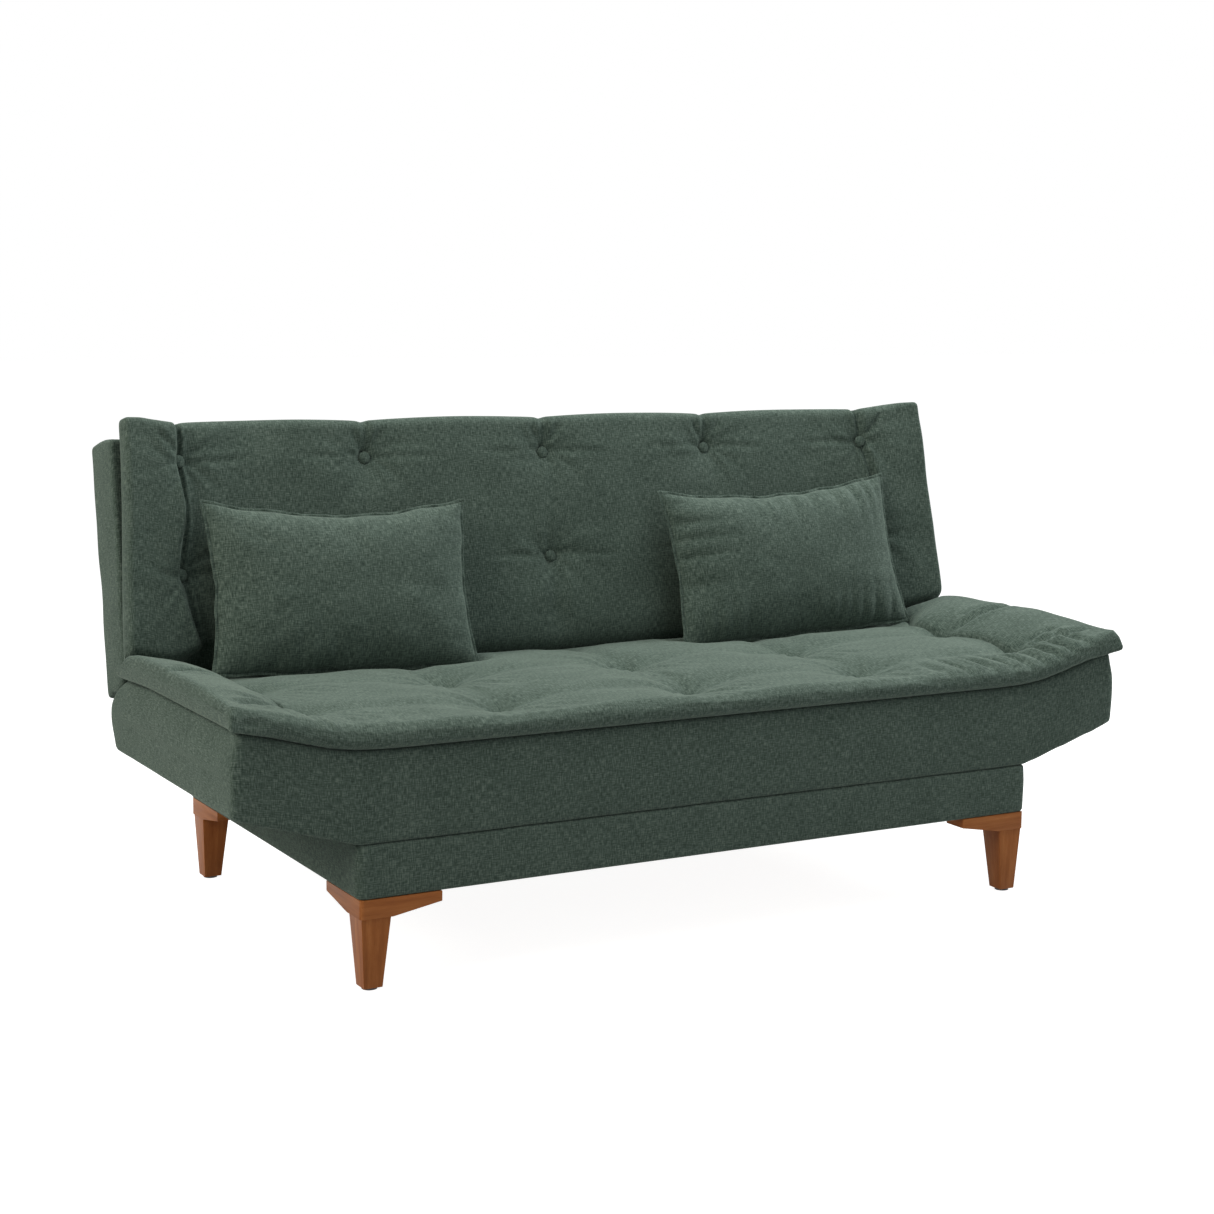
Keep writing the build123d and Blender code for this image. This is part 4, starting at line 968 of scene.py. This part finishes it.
def walnut_wood():
    """Walnut stain on straight-grained wood: long streaks and fine pores under a satin finish."""
    finish = Finish("walnut_wood", Roughness=0.45, Specular_IOR_Level=0.12)
    place = finish.place("grain")
    streak = finish.noise(place, (90, 90, 7), 4.0)
    pore = finish.noise(place, (900, 900, 60), 2.0)
    tone = streak * 0.75 + pore * 0.25
    finish.feed("Base Color", finish.ramp(tone, [(0.3, (0.250, 0.079, 0.021)), (0.5, (0.345, 0.117, 0.032)),
                                                 (0.72, (0.445, 0.169, 0.052))]))
    finish.feed("Roughness", pore * 0.2 + 0.34)
    finish.bump(pore, 0.0003, 0.25)
    return finish.material


def plain_finish(name, dark, light, stretch, roughness, metallic=0.0):
    """A quiet two-tone finish for pieces inside and underneath: noise between two shades of one colour."""
    finish = Finish(name, Metallic=metallic)
    tone = finish.noise(finish.place(), stretch, 3.0)
    finish.feed("Base Color", finish.ramp(tone, [(0.3, dark), (0.7, light)]))
    finish.feed("Roughness", tone * 0.15 + (roughness - 0.075))
    finish.bump(tone, 0.0004, 0.3)
    return finish.material


def dress(piece, material):
    """Gives a new piece its one material."""
    piece.data.materials.clear()
    piece.data.materials.append(material)
    return piece


# Dark shade, light shade, noise stretch, roughness and metal of the plain finishes
PLAIN_FINISHES = {
    "frame_wood": ((0.42, 0.27, 0.14), (0.60, 0.43, 0.25), (12, 140, 140), 0.7),
    "hardboard": ((0.13, 0.075, 0.04), (0.19, 0.115, 0.065), (180, 180, 180), 0.6),
    "black_steel": ((0.012, 0.012, 0.013), (0.022, 0.022, 0.024), (300, 300, 300), 0.42),
    "zinc_steel": ((0.45, 0.45, 0.46), (0.62, 0.62, 0.63), (240, 240, 240), 0.35, 1.0),
    "lining_cloth": ((0.010, 0.010, 0.011), (0.022, 0.022, 0.023), (500, 500, 500), 0.95),
    "foam": ((0.62, 0.56, 0.42), (0.75, 0.70, 0.55), (400, 400, 400), 0.95),
    "glide_plastic": ((0.02, 0.02, 0.02), (0.035, 0.035, 0.035), (400, 400, 400), 0.55),
}

fabric = green_fabric()
walnut = walnut_wood()
finishes = {slot: plain_finish(slot, *looks) for slot, looks in PLAIN_FINISHES.items()}
for subpart in frame["record"]["subparts"]:
    if subpart["material_slot"] in finishes:
        node = nodes[subpart["node"]]
        node.data.materials.clear()
        node.data.materials.append(finishes[subpart["material_slot"]])

soft = [
    (seat_pad(), 0.7),
    (back_pad(), 0.7),
    (module_body("seat", seat_place, SEAT_HALF, SEAT_FRONT, SEAT_HEEL, SEAT_LOW, tongue=0.0,
                 fuller=END_SWELL, seed=31), 1.0),
    (module_body("back", back_place, BACK_HALF, BACK_BODY_END, BACK_HEEL, BACK_LOW, tongue=BACK_TONGUE,
                 fuller=0.0, seed=41), 1.0),
    (cushion("cushion_left", half_wide=0.265, centre=(-0.480, 0.1409, 0.5880), roll=-radians(2.0),
             pucker=0.0022, seed=2), 0.7),
    (cushion("cushion_right", half_wide=0.283, centre=(0.506, 0.1409, 0.5895), roll=radians(2.0),
             pucker=0.0062, seed=6), 0.6),
]
for piece, fill in soft:
    dress(piece, fabric)
dress(base_cover(), fabric)
dress(buttons(), fabric)
for corner in ("front_left", "front_right", "rear_left", "rear_right"):
    dress(rounded_wood("leg_post_" + corner), walnut)
    dress(rounded_wood("leg_bracket_" + corner), walnut)


# Stage

CAMERA_PLACE = Vector((-2.0399, -3.6185, 1.1310))
CAMERA_YAW, CAMERA_PITCH, CAMERA_ROLL = 0.51329, 0.10521, 0.01042
CAMERA_LENS = 65.33
CAMERA_SHIFT = -0.0675
FLOOR_GLOW = 0.92
SURROUND_LEVEL = 0.23


def photo_camera():
    """The camera at the photograph's place: yawed from +Y towards +X, pitched down and rolled a little."""
    data = bpy.data.cameras.new("camera")
    data.lens = CAMERA_LENS
    data.sensor_width = 36
    data.shift_y = CAMERA_SHIFT
    camera = placed("camera", data)
    turned = Matrix.Rotation(-CAMERA_YAW, 4, "Z") @ Matrix.Rotation(pi / 2 - CAMERA_PITCH, 4, "X")
    turned = turned @ Matrix.Rotation(CAMERA_ROLL, 4, "Z")
    camera.matrix_world = Matrix.Translation(CAMERA_PLACE) @ turned
    bpy.context.scene.camera = camera


def soft_box(name, place, target, size, power, colour):
    """A large area lamp that faces a target."""
    data = bpy.data.lights.new(name, "AREA")
    data.shape = "RECTANGLE"
    data.size, data.size_y = size
    data.energy = power
    data.color = colour
    lamp = placed(name, data)
    lamp.location = place
    lamp.rotation_mode = "QUATERNION"
    lamp.rotation_quaternion = (Vector(target) - Vector(place)).to_track_quat("-Z", "Y")


def brightness(tree, seen, otherwise):
    """A socket: one value for what is seen, directly or in a mirror or glass, and another for other rays."""
    rays = tree.nodes.new("ShaderNodeLightPath")
    share = rays.outputs["Is Camera Ray"]
    for kind in ("Is Glossy Ray", "Is Transmission Ray"):
        either = tree.nodes.new("ShaderNodeMath")
        either.operation = "MAXIMUM"
        tree.links.new(share, either.inputs[0])
        tree.links.new(rays.outputs[kind], either.inputs[1])
        share = either.outputs[0]
    value = tree.nodes.new("ShaderNodeMath")
    value.operation = "MULTIPLY_ADD"
    value.inputs[1].default_value = seen - otherwise
    value.inputs[2].default_value = otherwise
    tree.links.new(share, value.inputs[0])
    return value.outputs[0]


def white_floor():
    """A pale floor: a glow that is nearly white where it is seen, and on it the lamps' light and the shadow."""
    mesh = bpy.data.meshes.new("floor")
    mesh.from_pydata([(-30, -30, 0), (30, -30, 0), (30, 30, 0), (-30, 30, 0)], [], [(0, 1, 2, 3)])
    finish = Finish("white_floor", Base_Color=(0.5, 0.5, 0.5, 1), Roughness=1.0, Specular_IOR_Level=0.0)
    tree = finish.tree
    glow = tree.nodes.new("ShaderNodeEmission")
    both = tree.nodes.new("ShaderNodeAddShader")
    tree.links.new(brightness(tree, FLOOR_GLOW, 0), glow.inputs["Strength"])
    tree.links.new(finish.shader.outputs[0], both.inputs[0])
    tree.links.new(glow.outputs[0], both.inputs[1])
    tree.links.new(both.outputs[0], tree.nodes["Material Output"].inputs[0])
    mesh.materials.append(finish.material)
    placed("floor", mesh)


def studio_world():
    """An even white surround: white where it is seen, and a low fill where it lights the sofa."""
    world = bpy.data.worlds.new("studio")
    world.use_nodes = True
    bpy.context.scene.world = world
    tree = world.node_tree
    background = tree.nodes["Background"]
    background.inputs["Color"].default_value = (1, 1, 1, 1)
    tree.links.new(brightness(tree, 1, SURROUND_LEVEL), background.inputs["Strength"])


photo_camera()
white_floor()
studio_world()
soft_box("key_left", (-3.6, -0.6, 2.6), (0, 0, 0.45), (2.6, 2.0), 86, (1.0, 0.945, 0.85))
soft_box("overhead", (0.7, 0.2, 3.5), (0.1, 0, 0.4), (3.4, 2.4), 82, (0.98, 1.0, 1.0))
soft_box("key_right", (3.4, -0.2, 2.2), (0.2, 0, 0.45), (1.6, 1.4), 54, (0.98, 1.0, 1.0))
soft_box("front_fill", (0.8, -4.0, 1.8), (0, 0, 0.45), (3.0, 2.0), 12, (0.93, 0.98, 1.0))
bpy.context.scene.view_settings.view_transform = "Standard"
